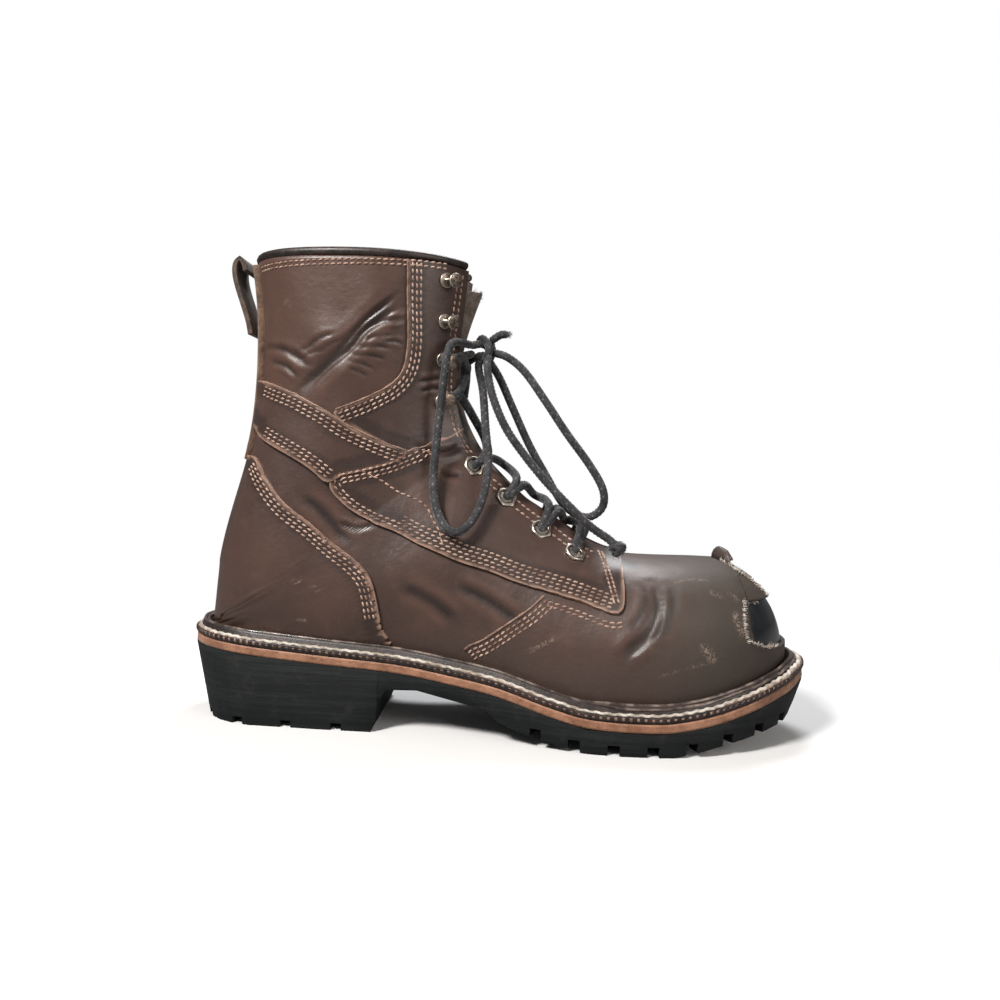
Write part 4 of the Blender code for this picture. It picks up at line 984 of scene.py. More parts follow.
# %% [markdown]
# ## Pieces sewn on top
# A boot's upper is built in layers: the facing carries the hooks, the band and the heel counter
# stiffen the ankle, the eyestay carries the eyelets, and a strap covers the back seam. Each has a
# cut edge that catches the light; its pale rim is partly the raw edge's own colour and partly a
# painted highlight, and on most pieces a band of painted shade runs inside it along the stitching.
# They lie exactly on the skin, so each is cut out of a copy of it: the faces inside the outline are
# kept, the faces that it crosses are split exactly on it, a solidify modifier gives the leather its
# thickness outwards and a bevel breaks its edge.

# %% Outlines in millimetres from the heel, seen from the side
FACING = (
    (63.9, 243), (63.9, 230), (63.9, 216), (63.9, 203), (63.9, 192.2), (61.8, 179.7), (55.8, 171.7),
    (43.8, 164.6), (29.7, 158.5), (31.5, 153.5),
    (42, 147.5), (54, 141), (64.5, 138), (80, 142), (109, 151), (112, 200), (109, 243),
)
ANKLE_BAND = (
    (-47.2, 175.0), (-17.8, 174.1), (-7.3, 172.4), (10.2, 165.4), (25.8, 157.3), (34.5, 151.7), (44.7, 146.7),
    (55.8, 141.8), (63.4, 139.2), (60.4, 134.2), (45.2, 129), (33.2, 126), (29.4, 123.6), (24.6, 122.7),
    (19.2, 127.4), (11.1, 132.8), (-8.8, 143.2), (-17.8, 151.2), (-47.2, 159.2),
)
EYESTAY = (
    (31.5, 128.8), (27.6, 125.0), (27.2, 119.8), (31.8, 113.9), (38.1, 108.7), (48.9, 102.8), (60.0, 98.8),
    (71.1, 93.4), (82.0, 89.2), (92.8, 84.9), (106.6, 80.9), (121.3, 75.7), (135.7, 72.2), (151.1, 67.9),
    (165.5, 63.4), (170.6, 64.4), (172.3, 70), (172.6, 86), (171.5, 113.2), (109.0, 153.3), (79.9, 144.6),
    (67.8, 140.3),
    (55.8, 134.9), (43.8, 131.6),
)
COUNTER = (
    (-59.2, 135.6), (-20.2, 134.9), (-12.4, 133.0), (-7.0, 125.0), (4.2, 111.8), (16.5, 102.8), (29.7, 92.0),
    (40.5, 84.4), (48.6, 76.2), (51.9, 66.0), (54.3, 53.1), (54.6, 30), (-59.2, 30),
)
STRAP = ((-11, 137), (11, 137), (11, 243), (-11, 243))


def inside_distance(flat, outline, step=1.2 * MM):
    """Distance to a closed outline, positive inside it, and the nearest point on it."""
    corners = [(a, b, 0) for a, b in np.array(outline) * MM]
    line = even_line(corners, step, closed=True)[:-1, :2]
    start, end = line, np.roll(line, -1, axis=0)
    best, near = np.full(len(flat), 1e9), np.zeros((len(flat), 2))
    within = np.zeros(len(flat), bool)
    for a, b in zip(start, end):
        run = b - a
        share = np.clip((flat - a) @ run / (run @ run), 0, 1)
        place = a + share[:, None] * run
        away = np.linalg.norm(flat - place, axis=1)
        closer = away < best
        best[closer], near[closer] = away[closer], place[closer]
        if a[1] != b[1]:
            crosses = ((a[1] > flat[:, 1]) != (b[1] > flat[:, 1]))
            within ^= crosses & (flat[:, 0] < a[0] + (flat[:, 1] - a[1]) / (b[1] - a[1]) * run[0])
    return np.where(within, best, -best), near


FACE_CORNERS = [tuple(f.vertices) for f in skin.data.polygons]
FACE_OUT = np.array([tuple(f.normal) for f in skin.data.polygons])
FACE_PLACE = np.array([tuple(f.center) for f in skin.data.polygons])
print("outlines ready")

# %% Cut a piece out of the skin and give it thickness
def cut_along(shape, level, snap=0.28 * MM):
    """Splits the faces that the outline crosses, exactly on it, and drops what lies outside."""
    for vertex in shape.verts:
        if abs(vertex[level]) < snap:
            vertex[level] = 0.0
    on_line = [v for v in shape.verts if v[level] == 0.0]
    for edge in list(shape.edges):
        a, b = edge.verts
        if a[level] * b[level] < 0:
            share = a[level] / (a[level] - b[level])
            _, new = bmesh.utils.edge_split(edge, a, share)
            new[level] = 0.0
            on_line.append(new)
    bmesh.ops.connect_verts(shape, verts=on_line)
    outside = [f for f in shape.faces if sum(v[level] for v in f.verts) < 0]
    bmesh.ops.delete(shape, geom=outside, context="FACES")


def sewn_piece(name, outline, side, thickness, stands_for, slot="oiled_leather", finish=None, across=False,
               bounded=None, gap=0.3 * MM, shade=7.6):
    columns = (1, 2) if across else (0, 2)
    flat = skin_points[:, columns]
    reach = np.array(outline) * MM
    close = ((flat > reach.min(axis=0) - 5 * MM) & (flat < reach.max(axis=0) + 5 * MM)).all(axis=1)
    signed, near = np.full(len(flat), -1.0), np.zeros((len(flat), 2))
    signed[close], near[close] = inside_distance(flat[close], outline)
    kept = signed > -3 * MM
    if side:
        kept &= skin_points[:, 1] * side > 0
    if bounded is not None:
        kept &= bounded(skin_points)
    faces_out = FACE_OUT[:, 1] * side > 0.03 if side else FACE_OUT[:, 2] > -0.7
    faces_out &= ~((FACE_PLACE[:, 2] > 0.225) & (np.abs(FACE_OUT[:, 2]) > 0.8))
    chosen = [c for c, good in zip(FACE_CORNERS, faces_out) if good and all(kept[i] for i in c)]
    used = np.unique(np.concatenate([np.array(c) for c in chosen]))
    index = {int(old): new for new, old in enumerate(used)}
    mesh = bpy.data.meshes.new(name)
    snapped = np.abs(signed[used]) < 0.28 * MM
    places = skin_points[used] - skin_out[used] * gap
    places[np.ix_(snapped, columns)] = near[used][snapped]
    mesh.from_pydata([tuple(p) for p in places], [], [tuple(index[i] for i in c) for c in chosen])
    made = bpy.data.objects.new(name, mesh)
    bpy.context.scene.collection.objects.link(made)
    for mark, values in marks.items():
        write_mark(made, mark, values[used])
    level_mark = mesh.attributes.new("level", "FLOAT", "POINT")
    level_mark.data.foreach_set("value", signed[used].astype(np.float32))
    shape = bmesh.new()
    shape.from_mesh(mesh)
    cut_along(shape, shape.verts.layers.float["level"])
    shape.to_mesh(mesh)
    shape.free()
    levels = np.empty(len(mesh.vertices), np.float32)
    mesh.attributes["level"].data.foreach_get("value", levels)
    # Pale rim along the cut edge: partly the raw edge's own colour, partly a painted highlight.
    write_mark(made, "rim", np.exp(-(np.clip(levels, 0, 1) / (0.6 * MM)) ** 2))
    # Painted shade: a dark band inside the rim, along the stitching, is added to the crease shade.
    if shade:
        crease_shade = np.empty(len(mesh.vertices), np.float32)
        mesh.attributes["painted_shade"].data.foreach_get("value", crease_shade)
        dark = along(levels / MM, 0.7, 1.5) * (1 - along(levels / MM, shade, shade + 1.2)) * 0.5
        write_mark(made, "painted_shade", np.maximum(crease_shade, dark))
    mesh.attributes.remove(mesh.attributes["level"])
    only(made)
    body = made.modifiers.new("thickness", "SOLIDIFY")
    body.thickness = thickness + gap
    body.offset = 1
    body.use_quality_normals = True
    bpy.ops.object.modifier_apply(modifier=body.name)
    edge = made.modifiers.new("broken_edge", "BEVEL")
    edge.limit_method = "ANGLE"
    edge.angle_limit = math.radians(50)
    edge.width = 0.42 * MM
    edge.segments = 2
    bpy.ops.object.modifier_apply(modifier=edge.name)
    bpy.ops.object.shade_smooth()
    made.data.materials.append(finish or panel_leather)
    print(name, len(made.data.polygons), "faces")
    return dress(made, slot, *stands_for)


sewn = []
for word, side in (("outer", -1), ("inner", 1)):
    sewn.append(sewn_piece(f"facing_{word}_side", FACING, side, 1.8 * MM, (f"facing_{word}",)))
    sewn.append(sewn_piece(f"ankle_band_{word}_side", ANKLE_BAND, side, 2.5 * MM, (f"ankle_band_{word}",),
                           bounded=lambda p: ~((np.abs(p[:, 1]) < 9 * MM) & (p[:, 0] < 0)), shade=7.9))
    sewn.append(sewn_piece(f"eyestay_{word}_side", EYESTAY, side, 2.0 * MM, (f"eyestay_{word}",), shade=9.6))
sewn.append(sewn_piece("heel_counter", COUNTER, 0, 1.7 * MM, ("counter",)))
strap = sewn_piece("heel_strap", STRAP, 0, 3.0 * MM, ("back_strap",), slot="tan_edge", finish=tan_suede,
                   across=True,
                   bounded=lambda p: p[:, 0] < 0, shade=0)
sewn.append(strap)
leather_tree = tree_of(skin, *sewn)

# %% [markdown]
# ## Thousands of stitches
# Every edge is held by two to four rows of heavy thread, a little over three millimetres a stitch.
# One stitch is modelled once, as a small flattened pill whose ends dive into the leather, and a copy
# is set down at even steps along each row. The rows keep their distance from the seam on the
# leather itself: each place is shifted sideways and then dropped onto whatever lies on top there.

# %% Model one stitch
STITCH_PITCH = 3.3 * MM
ROW_START, ROW_GAP = 2.4, 2.1

bpy.ops.object.select_all(action="DESELECT")
bpy.ops.mesh.primitive_uv_sphere_add(segments=8, ring_count=6, radius=1)
pattern = bpy.context.object
bpy.ops.object.mode_set(mode="EDIT")
bpy.ops.mesh.select_all(action="SELECT")
bpy.ops.transform.resize(value=(1.32 * MM, 0.54 * MM, 0.66 * MM))
bpy.ops.mesh.select_all(action="DESELECT")
under = bmesh.from_edit_mesh(pattern.data)
for vertex in under.verts:
    vertex.select_set(vertex.co.z < -0.2 * MM)
under.select_flush(True)
bpy.ops.mesh.delete(type="VERT")
bpy.ops.object.mode_set(mode="OBJECT")
STITCH_POINTS = coordinates(pattern.data)
STITCH_FACES = [tuple(f.vertices) for f in pattern.data.polygons]
bpy.data.objects.remove(pattern)
print("one stitch has", len(STITCH_FACES), "faces")


def settle(place, out):
    """The nearest top surface at a place, looked at from outside."""
    hit, new_out, _, _ = leather_tree.ray_cast(Vector(place) + out * 5 * MM, -out, 12 * MM)
    return (hit, new_out) if hit else (None, None)


class Sewing:
    def __init__(self, name, finish):
        self.name, self.finish, self.points, self.faces = name, finish, [], []

    def stitch(self, place, way, out, slant=0.16, size=1.0, sink=0.08 * MM):
        way = (way - out * way.dot(out)).normalized()
        aside = out.cross(way)
        way = (way + aside * slant).normalized()
        aside = out.cross(way)
        start = len(self.points)
        base = place - out * sink
        for p in STITCH_POINTS * size:
            self.points.append(tuple(base + way * p[0] + aside * p[1] + out * p[2]))
        self.faces += [tuple(i + start for i in face) for face in STITCH_FACES]

    def rows(self, seam, offsets, toward, pitch=STITCH_PITCH):
        """Rows beside a seam, at these distances in millimetres on the side of the point toward."""
        line = even_line(seam, 1.5 * MM)
        for offset in offsets:
            shifted = []
            for i, place in enumerate(line):
                place = Vector(place)
                way = Vector(line[min(i + 1, len(line) - 1)] - line[max(i - 1, 0)]).normalized()
                _, out, _, _ = skin_tree.find_nearest(place)
                aside = out.cross(way).normalized()
                aside *= math.copysign(1, aside.dot(Vector(toward) - place))
                near, _, _, _ = skin_tree.find_nearest(place + aside * offset * MM)
                shifted.append(near)
            even = even_line(shifted, pitch)
            for i in range(len(even) - 1):
                middle = Vector((even[i] + even[i + 1]) / 2)
                _, out, _, _ = skin_tree.find_nearest(middle)
                top, top_out = settle(middle, out)
                if top:
                    self.stitch(top, Vector(even[i + 1] - even[i]), top_out)

    def done(self, slot="oiled_leather"):
        print(self.name, len(self.faces) // len(STITCH_FACES), "stitches")
        return piece(self.name, self.points, self.faces, self.finish, slot)


def on_side(pairs, side):
    """Points given as distance from the heel and height, laid on that side of the skin."""
    made = []
    for a, b in np.array(pairs) * MM:
        place, _, _, _ = skin_tree.ray_cast(Vector((a, side * 0.1, b)), Vector((0, -side, 0)))
        if place and place.y * side > 0:
            made.append(place)
    return made


# %% Sew both sides
def spaced(count, start=ROW_START, gap=ROW_GAP):
    return [start + gap * i for i in range(count)]


THROAT_EDGE = (
    (172.3, 3.4, 88.9), (161.7, -2.6, 90.7), (151.1, -7.2, 96.1), (141.1, -9.2, 103.2), (131.5, -9.7, 109.4),
    (122.8, -10.0, 115.8), (115.9, -10.2, 122.1), (109.3, -10.4, 127.4), (104.1, -10.5, 131.4),
    (98.5, -10.5, 137.5), (94.5, -10.5, 142.7), (92.2, -10.5, 147.2), (89.5, -10.5, 154.0),
    (87.8, -10.5, 160.9),
    (86.5, -10.6, 168.6), (86.1, -10.8, 176.3), (86.5, -11.0, 183.5), (87.0, -11.3, 190.5),
    (87.5, -11.5, 197.4),
    (88.2, -11.8, 204.1), (88.9, -12.1, 210.4), (89.6, -12.5, 216.4), (90.2, -12.8, 221.7),
    (90.7, -13.2, 225.6),
    (91.0, -13.6, 228.5),
)
THROAT_INNER = (
    (172.3, 3.4, 88.9), (161.7, 7.9, 90.7), (151.1, 11.0, 96.1), (141.1, 11.8, 103.2), (131.5, 11.3, 109.4),
    (122.8, 11.0, 115.8), (115.9, 10.8, 122.1), (109.3, 10.6, 127.4), (104.1, 10.5, 131.4),
    (98.5, 10.5, 137.5),
    (94.5, 10.5, 142.7), (92.2, 10.5, 147.2), (89.5, 10.5, 154.0), (87.8, 10.5, 160.9), (86.5, 10.6, 168.6),
    (86.1, 10.8, 176.3), (86.5, 11.0, 183.5), (87.0, 11.3, 190.5), (87.5, 11.5, 197.4), (88.2, 11.8, 204.1),
    (88.9, 12.1, 210.4), (89.6, 12.5, 216.4), (90.2, 12.8, 221.7), (90.7, 13.2, 225.6), (91.0, 13.6, 228.5),
)
VAMP_SEAM = ((96, 42.5), (99, 45), (105, 48), (116, 56), (127, 64), (134, 70.5))
VAMP_TAIL = ((136, 69.5), (151, 65.4), (165, 61.2), (171, 61.5))
ORNAMENT = ((42, 129), (52, 124), (61, 118), (71, 114), (76, 110), (79, 104), (82, 100), (84, 93))

for word, side in (("outer", -1), ("inner", 1)):
    thread = Sewing(f"thread_{word}", beige_thread)
    throat = [Vector(p) * MM for p in (THROAT_EDGE if side < 0 else THROAT_INNER)]
    thread.rows(on_side(((63.9, 231), (63.9, 221), (63.9, 208), *FACING[4:9]), side), spaced(3),
                (0.085, side * 0.03, 0.17))
    thread.rows(on_side(ANKLE_BAND[1:9], side), spaced(3), (0.0, side * 0.035, 0.1))
    thread.rows(on_side(ANKLE_BAND[:12:-1], side)[1:], spaced(3), (0.0, side * 0.035, 0.25))
    tip = on_side(((75, 142.8), (67.8, 140.3), (55.8, 134.9), (43.8, 131.6), (31.5, 128.8), (27.6, 125.0),
                   (27.2, 119.8),
                   (31.8, 113.9)), side)
    thread.rows(tip[:5], spaced(3), (0.09, side * 0.03, 0.118))
    thread.rows(tip[4:], spaced(2), (0.09, side * 0.03, 0.118))
    tack = on_side(((155.5, 99), (160.5, 89), (164.5, 78), (167.5, 67)), side)
    thread.rows(tack, (0.0, 2.1), (0.2, side * 0.02, 0.08), pitch=2.6 * MM)
    low = on_side(EYESTAY[3:15], side)
    thread.rows(low, spaced(2), (0.11, side * 0.02, 0.14))
    thread.rows(low[3:], spaced(2, ROW_START + 2 * ROW_GAP), (0.11, side * 0.02, 0.14))
    thread.rows(on_side((*COUNTER[2:10], (53.6, 56)), side), spaced(3), (-0.03, side * 0.03, 0.06))
    thread.rows(on_side(VAMP_SEAM, side), spaced(3), (0.17, side * 0.04, 0.045))
    thread.rows(on_side(VAMP_TAIL, side), (1.6, 3.7), (0.15, side * 0.04, 0.03))
    thread.rows(on_side(ORNAMENT, side), (0.1,), (0.0, side * 0.03, 0.1))
    for inset in (2.6, 4.6):
        edge = on_side([(p.x / MM - inset, p.z / MM) for p in throat[9:]], side)
        thread.rows(edge, (0.0,), (0.02, side * 0.05, 0.12))
        edge = on_side([(p.x / MM - 1.2 * inset, p.z / MM - inset) for p in throat[1:8]], side)
        thread.rows(edge, (0.0,), (0.02, side * 0.05, 0.12))
    rim = [p for p in on_side([(a, 231.5) for a in range(-14, 88, 6)], side)]
    thread.rows(rim, (0.2, 2.3), (0.03, side * 0.03, 0.1))
    thread.done()

# %% [markdown]
# ## Cut edges that catch the light
# Where a piece of thick leather ends, its raw edge has been trimmed and rubbed to a thin pale line,
# and that line is what the eye follows round the boot. Its pale tan is partly that edge's own colour
# and partly a painted highlight. It is a fine tube laid along the top corner of each edge: the
# outline's own points, dropped onto the leather and lifted by its thickness.

# %% Lay a pale bead along each edge
class Beading:
    def __init__(self, name):
        self.name, self.points, self.faces = name, [], []

    def run(self, line, radius, lift=0.0, step=0.9 * MM, sides=6):
        line = even_line(line, step)
        start, placed = len(self.points), []
        for place in line:
            near, out, _, _ = skin_tree.find_nearest(Vector(place))
            placed.append((near + out * lift, out))
        for i, (place, out) in enumerate(placed):
            way = (placed[min(i + 1, len(placed) - 1)][0] - placed[max(i - 1, 0)][0]).normalized()
            aside = out.cross(way).normalized()
            size = radius * (1 + 0.16 * math.sin(i * 0.9) + 0.12 * math.sin(i * 0.37 + 1))
            for k in range(sides):
                turn = 2 * math.pi * k / sides
                self.points.append(tuple(place + (aside * math.cos(turn) + out * math.sin(turn)) * size))
        for i in range(len(placed) - 1):
            for k in range(sides):
                a, b = start + i * sides + k, start + i * sides + (k + 1) % sides
                self.faces.append((a, b, b + sides, a + sides))
        self.faces.append(tuple(start + k for k in range(sides - 1, -1, -1)))
        self.faces.append(tuple(start + (len(placed) - 1) * sides + k for k in range(sides)))

    def done(self):
        return piece(self.name, self.points, self.faces, edge_tan, "tan_edge")


for word, side in (("outer", -1), ("inner", 1)):
    edges = Beading(f"pale_edges_{word}")
    edges.run(on_side(((63.9, 231), (63.9, 221), (63.9, 208), *FACING[4:9]), side), 0.42 * MM, 1.75 * MM)
    edges.run(on_side(ANKLE_BAND[1:9], side), 0.42 * MM, 2.45 * MM)
    edges.run(on_side(((78, 144), (67.8, 140.3), (55.8, 134.9), (43.8, 131.6), (31.5, 128.8)), side),
              0.4 * MM, 1.95 * MM)
    edges.run(on_side((*COUNTER[2:10], (53.2, 59)), side), 0.4 * MM, 1.65 * MM)
    edges.run(on_side(VAMP_SEAM, side), 0.55 * MM, 0.2 * MM)
    edges.done()
print("pale edges on either side")

# %% [markdown]
# ## The sole
# Under the upper lie three layers: a dark storm welt with a raised bead against the leather, a tan
# leather midsole, and one block of rubber with a high heel and lugs. The solids already have the
# right outline, so rounded copies take their place. What the solids don't have is what the eye goes
# to first: the wheeled notches along the welt's edge and the thick white lock stitch beside them.

# %% Round the three layers
welt = rounded_copy("storm_welt", "welt", 2, crease_over=40)
welt.data.materials.append(dark_leather)
dress(welt, "dark_leather", "welt")
midsole = rounded_copy("leather_midsole", "midsole", 2, crease_over=60)
midsole.data.materials.append(midsole_tan)
dress(midsole, "leather_midsole", "midsole")


def broken_copy(name, node, width):
    """A merged copy whose sharp corners are rounded by a small bevel."""
    bpy.ops.object.select_all(action="DESELECT")
    made = bpy.data.objects.new(name, nodes[node].data.copy())
    bpy.context.scene.collection.objects.link(made)
    bpy.context.view_layer.objects.active = made
    made.select_set(True)
    bpy.ops.object.mode_set(mode="EDIT")
    bpy.ops.mesh.select_all(action="SELECT")
    bpy.ops.mesh.remove_doubles(threshold=0.00002)
    bpy.ops.mesh.dissolve_limited(angle_limit=math.radians(2))
    bpy.ops.object.mode_set(mode="OBJECT")
    edge = made.modifiers.new("worn_corners", "BEVEL")
    edge.limit_method = "ANGLE"
    edge.angle_limit = math.radians(32)
    edge.width = width
    edge.segments = 2
    bpy.ops.object.modifier_apply(modifier=edge.name)
    bpy.ops.object.shade_smooth_by_angle(angle=math.radians(34))
    made.data.materials.clear()
    return made


outsole = broken_copy("lugged_sole", "outsole", 0.6 * MM)
outsole.data.materials.append(rubber)
dress(outsole, "black_rubber", "outsole")
print("welt", len(welt.data.polygons), "midsole", len(midsole.data.polygons), "sole",
      len(outsole.data.polygons))

# %% [markdown]
# ## Notches and lock stitch
# A wheel rolled along the welt presses a block every three and a half millimetres, and the lock
# stitch runs just inside. Both follow the sole's outline, which is read from the midsole's solid: its
# corners sorted round the foot and smoothed into one closed line.

# %% Walk round the sole
def sole_outline(step):
    corners = {}
    for vertex in nodes["midsole"].data.vertices:
        key = (round(vertex.co.x, 4), round(vertex.co.y, 4))
        corners[key] = max(corners.get(key, -1), vertex.co.z)
    ring = sorted(((a, b, c) for (a, b), c in corners.items()),
                  key=lambda p: math.atan2(p[1] + 0.002, (p[0] - 0.105) * 0.45))
    return even_line(ring, step, closed=True)


def out_of(ring, i):
    way = ring[(i + 1) % len(ring)] - ring[i - 1]
    way /= np.linalg.norm(way)
    out = np.array((way[1], -way[0], 0))
    return Vector(way), Vector(out / np.linalg.norm(out))


NOTCH_PITCH = 3.4 * MM
bpy.ops.object.select_all(action="DESELECT")
bpy.ops.mesh.primitive_cube_add(size=1)
notch = bpy.context.object
bpy.ops.object.mode_set(mode="EDIT")
bpy.ops.transform.resize(value=(2.15 * MM, 1.5 * MM, 2.0 * MM))
bpy.ops.mesh.bevel(offset=0.35 * MM, segments=1)
bpy.ops.object.mode_set(mode="OBJECT")
NOTCH_POINTS, NOTCH_FACES = coordinates(notch.data), [tuple(f.vertices) for f in notch.data.polygons]
bpy.data.objects.remove(notch)

ring = sole_outline(NOTCH_PITCH)
points, faces = [], []
for i in range(len(ring) - 1):
    way, out = out_of(ring, i)
    start = len(points)
    centre = Vector(ring[i]) - out * 0.35 * MM + Vector((0, 0, 2.15 * MM))
    points += [tuple(centre + way * p[0] + out * p[1] + Vector((0, 0, p[2]))) for p in NOTCH_POINTS]
    faces += [tuple(k + start for k in face) for face in NOTCH_FACES]
bed_points, bed_faces = [], []
bed = sole_outline(2.5 * MM)
for i in range(len(bed) - 1):
    way, out = out_of(bed, i)
    for k in range(6):
        turn = 2 * math.pi * k / 6
        bed_points.append(tuple(Vector(bed[i]) - out * 1.2 * MM + Vector((0, 0, 2.1 * MM))
                                + (out * math.cos(turn) + Vector((0, 0, math.sin(turn)))) * 1.35 * MM))
for i in range(len(bed) - 1):
    for k in range(6):
        a, b = i * 6 + k, i * 6 + (k + 1) % 6
        c, d = (i + 1) % (len(bed) - 1) * 6 + (k + 1) % 6, (i + 1) % (len(bed) - 1) * 6 + k
        bed_faces.append((d, c, b, a))
piece("notch_bed", bed_points, bed_faces, edge_tan, "tan_edge")
piece("wheeled_notches", points, faces, dark_leather, "dark_leather", smooth=False)
print(len(ring) - 1, "notches")

# %% [markdown]
# ## The storm ridge
# Close to the upper the welt rises in a rounded ridge that keeps water out. Its two polished crests
# are the brightest lines on the sole: their gloss is real, their pale colour a painted highlight.
# They follow the same outline as the notches, set inwards and dropped onto the welt.

# %% Raise the storm ridge
welt_tree = tree_of(welt)


def ridge(name, inset, radius, sides=8):
    path = sole_outline(2.0 * MM)
    placed = []
    for i in range(len(path) - 1):
        way, out = out_of(path, i)
        above = Vector(path[i]) - out * inset + Vector((0, 0, 25 * MM))
        hit, _, _, _ = welt_tree.ray_cast(above, Vector((0, 0, -1)))
        if hit:
            placed.append((hit, out))
    points, faces = [], []
    for place, out in placed:
        for k in range(sides):
            turn = 2 * math.pi * k / sides
            points.append(tuple(place + (out * math.cos(turn) + Vector((0, 0, math.sin(turn)))) * radius))
    for i in range(len(placed)):
        for k in range(sides):
            after = (i + 1) % len(placed)
            faces.append((i * sides + k, after * sides + k, after * sides + (k + 1) % sides,
                          i * sides + (k + 1) % sides)[::-1])
    return piece(name, points, faces, ridge_gloss_and_highlight, "dark_leather")


ridge("ridge_low", 4.3 * MM, 0.75 * MM)
ridge("ridge_high", 5.9 * MM, 0.85 * MM)
print("two crests of the storm ridge")

# %% Lay the white lock stitch
ring = sole_outline(0.75 * MM)
SIDES_OF_STITCH = 7
points, faces = [], []
for i in range(len(ring) - 1):
    way, out = out_of(ring, i)
    phase = i * 0.75 / 5.2 * 2 * math.pi
    fat = 0.86 + 0.34 * abs(math.sin(phase / 2)) ** 0.7
    sway = 0.28 * math.sin(phase) + 0.18 * math.sin(phase * 0.31)
    stitch_rise = (3.55 + 0.22 * math.sin(phase + 1)) * MM
    centre = Vector(ring[i]) - out * (2.1 + sway) * MM + Vector((0, 0, stitch_rise))
    for k in range(SIDES_OF_STITCH):
        turn = 2 * math.pi * k / SIDES_OF_STITCH
        bulge = out * math.cos(turn) + Vector((0, 0, math.sin(turn) * 0.75))
        points.append(tuple(centre + bulge * fat * MM))
count = len(ring) - 1
for i in range(count):
    for k in range(SIDES_OF_STITCH):
        a, b = i * SIDES_OF_STITCH + k, i * SIDES_OF_STITCH + (k + 1) % SIDES_OF_STITCH
        c, d = (i + 1) % count * SIDES_OF_STITCH + (k + 1) % SIDES_OF_STITCH, (i + 1) % count * SIDES_OF_STITCH + k
        faces.append((d, c, b, a))
piece("lock_stitch", points, faces, white_thread, "dark_leather")
print("lock stitch", count, "steps")

# %% [markdown]
# ## The worn-through toe
# The leather over the toe has torn, and the hard black shell below it shows. The shell is a rounded
# copy of its solid, with a strip of old glue along the edge of the tear. What makes a tear read as a
# tear is its ragged edge, so about five hundred short white fibres are set along it, each one a thin
# curved blade that starts in the cut edge and leans over the hole.

# %% Round the shell and mark the glue
shell_cap = rounded_copy("toe_shell", "toe_cap", 3, crease_over=60)
cap_points = coordinates(shell_cap.data)
edge_of_hole = np.array([tuple(spot(u, v)[0]) for u, v in ((750, 600), (748, 612), (748, 622), (749, 634),
                                                           (751, 644))
                         if spot(u, v)[0]])
away, _ = distance_to(cap_points, edge_of_hole, 1 * MM)
write_mark(shell_cap, "dull", np.exp(-(away / (4.2 * MM)) ** 2) * 0.9)
shell_cap.data.materials.append(cap_shell)
dress(shell_cap, "safety_toe", "toe_cap")
print("shell", len(shell_cap.data.polygons), "faces")


# %% Fray the edge of the tear
class Fray:
    def __init__(self, seed):
        self.rng = np.random.default_rng(seed)
        self.points, self.faces = [], []

    def fibre(self, root, way, length, width, droop):
        way = Vector(way).normalized()
        aside = way.orthogonal().normalized()
        aside.rotate(Matrix.Rotation(self.rng.uniform(0, 2 * math.pi), 3, way))
        start = len(self.points)
        for k in range(4):
            share = k / 3
            place = Vector(root) + way * length * share + Vector(droop) * length * share * share
            half = width * (1 - 0.75 * share) / 2
            other = way.cross(aside)
            self.points += [tuple(place + aside * half),
                            tuple(place - aside * half * 0.5 + other * half * 0.87),
                            tuple(place - aside * half * 0.5 - other * half * 0.87)]
        for k in range(3):
            for m in range(3):
                a, b = start + k * 3 + m, start + k * 3 + (m + 1) % 3
                self.faces.append((a, b, b + 3, a + 3))
        self.faces += [(start + 2, start + 1, start), (start + 9, start + 10, start + 11)]


# The leather has split in two places: a strip still bridges them. It is a patch of the shell's own
# surface, lifted and given thickness, and its edges are frayed like the rest.
cap_tree = tree_of(shell_cap)
STRIP = ((733, 566), (742, 572), (753, 581), (762, 590), (768, 596))


def strip_grid(columns=16, rows=12):
    """Rows between the strip's upper edge and its lower edge, cast on the shell."""
    upper = even_line([(u, v, 0) for u, v in STRIP], 1.0)
    lower = even_line([(u, v, 0) for u, v in ((727, 600), (734, 601), (741, 603), (749, 602), (757, 601),
                                              (767, 598))], 1.0)
    grid = []
    for r in range(rows + 1):
        line = []
        for c in range(columns + 1):
            a = upper[int(round(c / columns * (len(upper) - 1)))]
            b = lower[int(round(c / columns * (len(lower) - 1)))]
            u, v = (a + (b - a) * r / rows)[:2]
            line.append(spot(u, v, cap_tree))
        grid.append(line)
    return grid


grid = strip_grid()
strip_points, strip_faces, index = [], [], {}
for r, line in enumerate(grid):
    for c, (place, out) in enumerate(line):
        if place:
            index[r, c] = len(strip_points)
            strip_points.append(tuple(place + out * 0.7 * MM))
for r in range(len(grid) - 1):
    for c in range(len(grid[0]) - 1):
        corners = [(r, c), (r + 1, c), (r + 1, c + 1), (r, c + 1)]
        if all(k in index for k in corners):
            strip_faces.append(tuple(index[k] for k in corners))
bridge = piece("torn_strip", strip_points, strip_faces, leather, "oiled_leather")
only(bridge)
body = bridge.modifiers.new("thickness", "SOLIDIFY")
body.thickness = 1.5 * MM
body.offset = 1
bpy.ops.object.modifier_apply(modifier=body.name)
write_mark(bridge, "dull", np.full(len(bridge.data.vertices), 0.9))
print("strip", len(bridge.data.polygons), "faces")

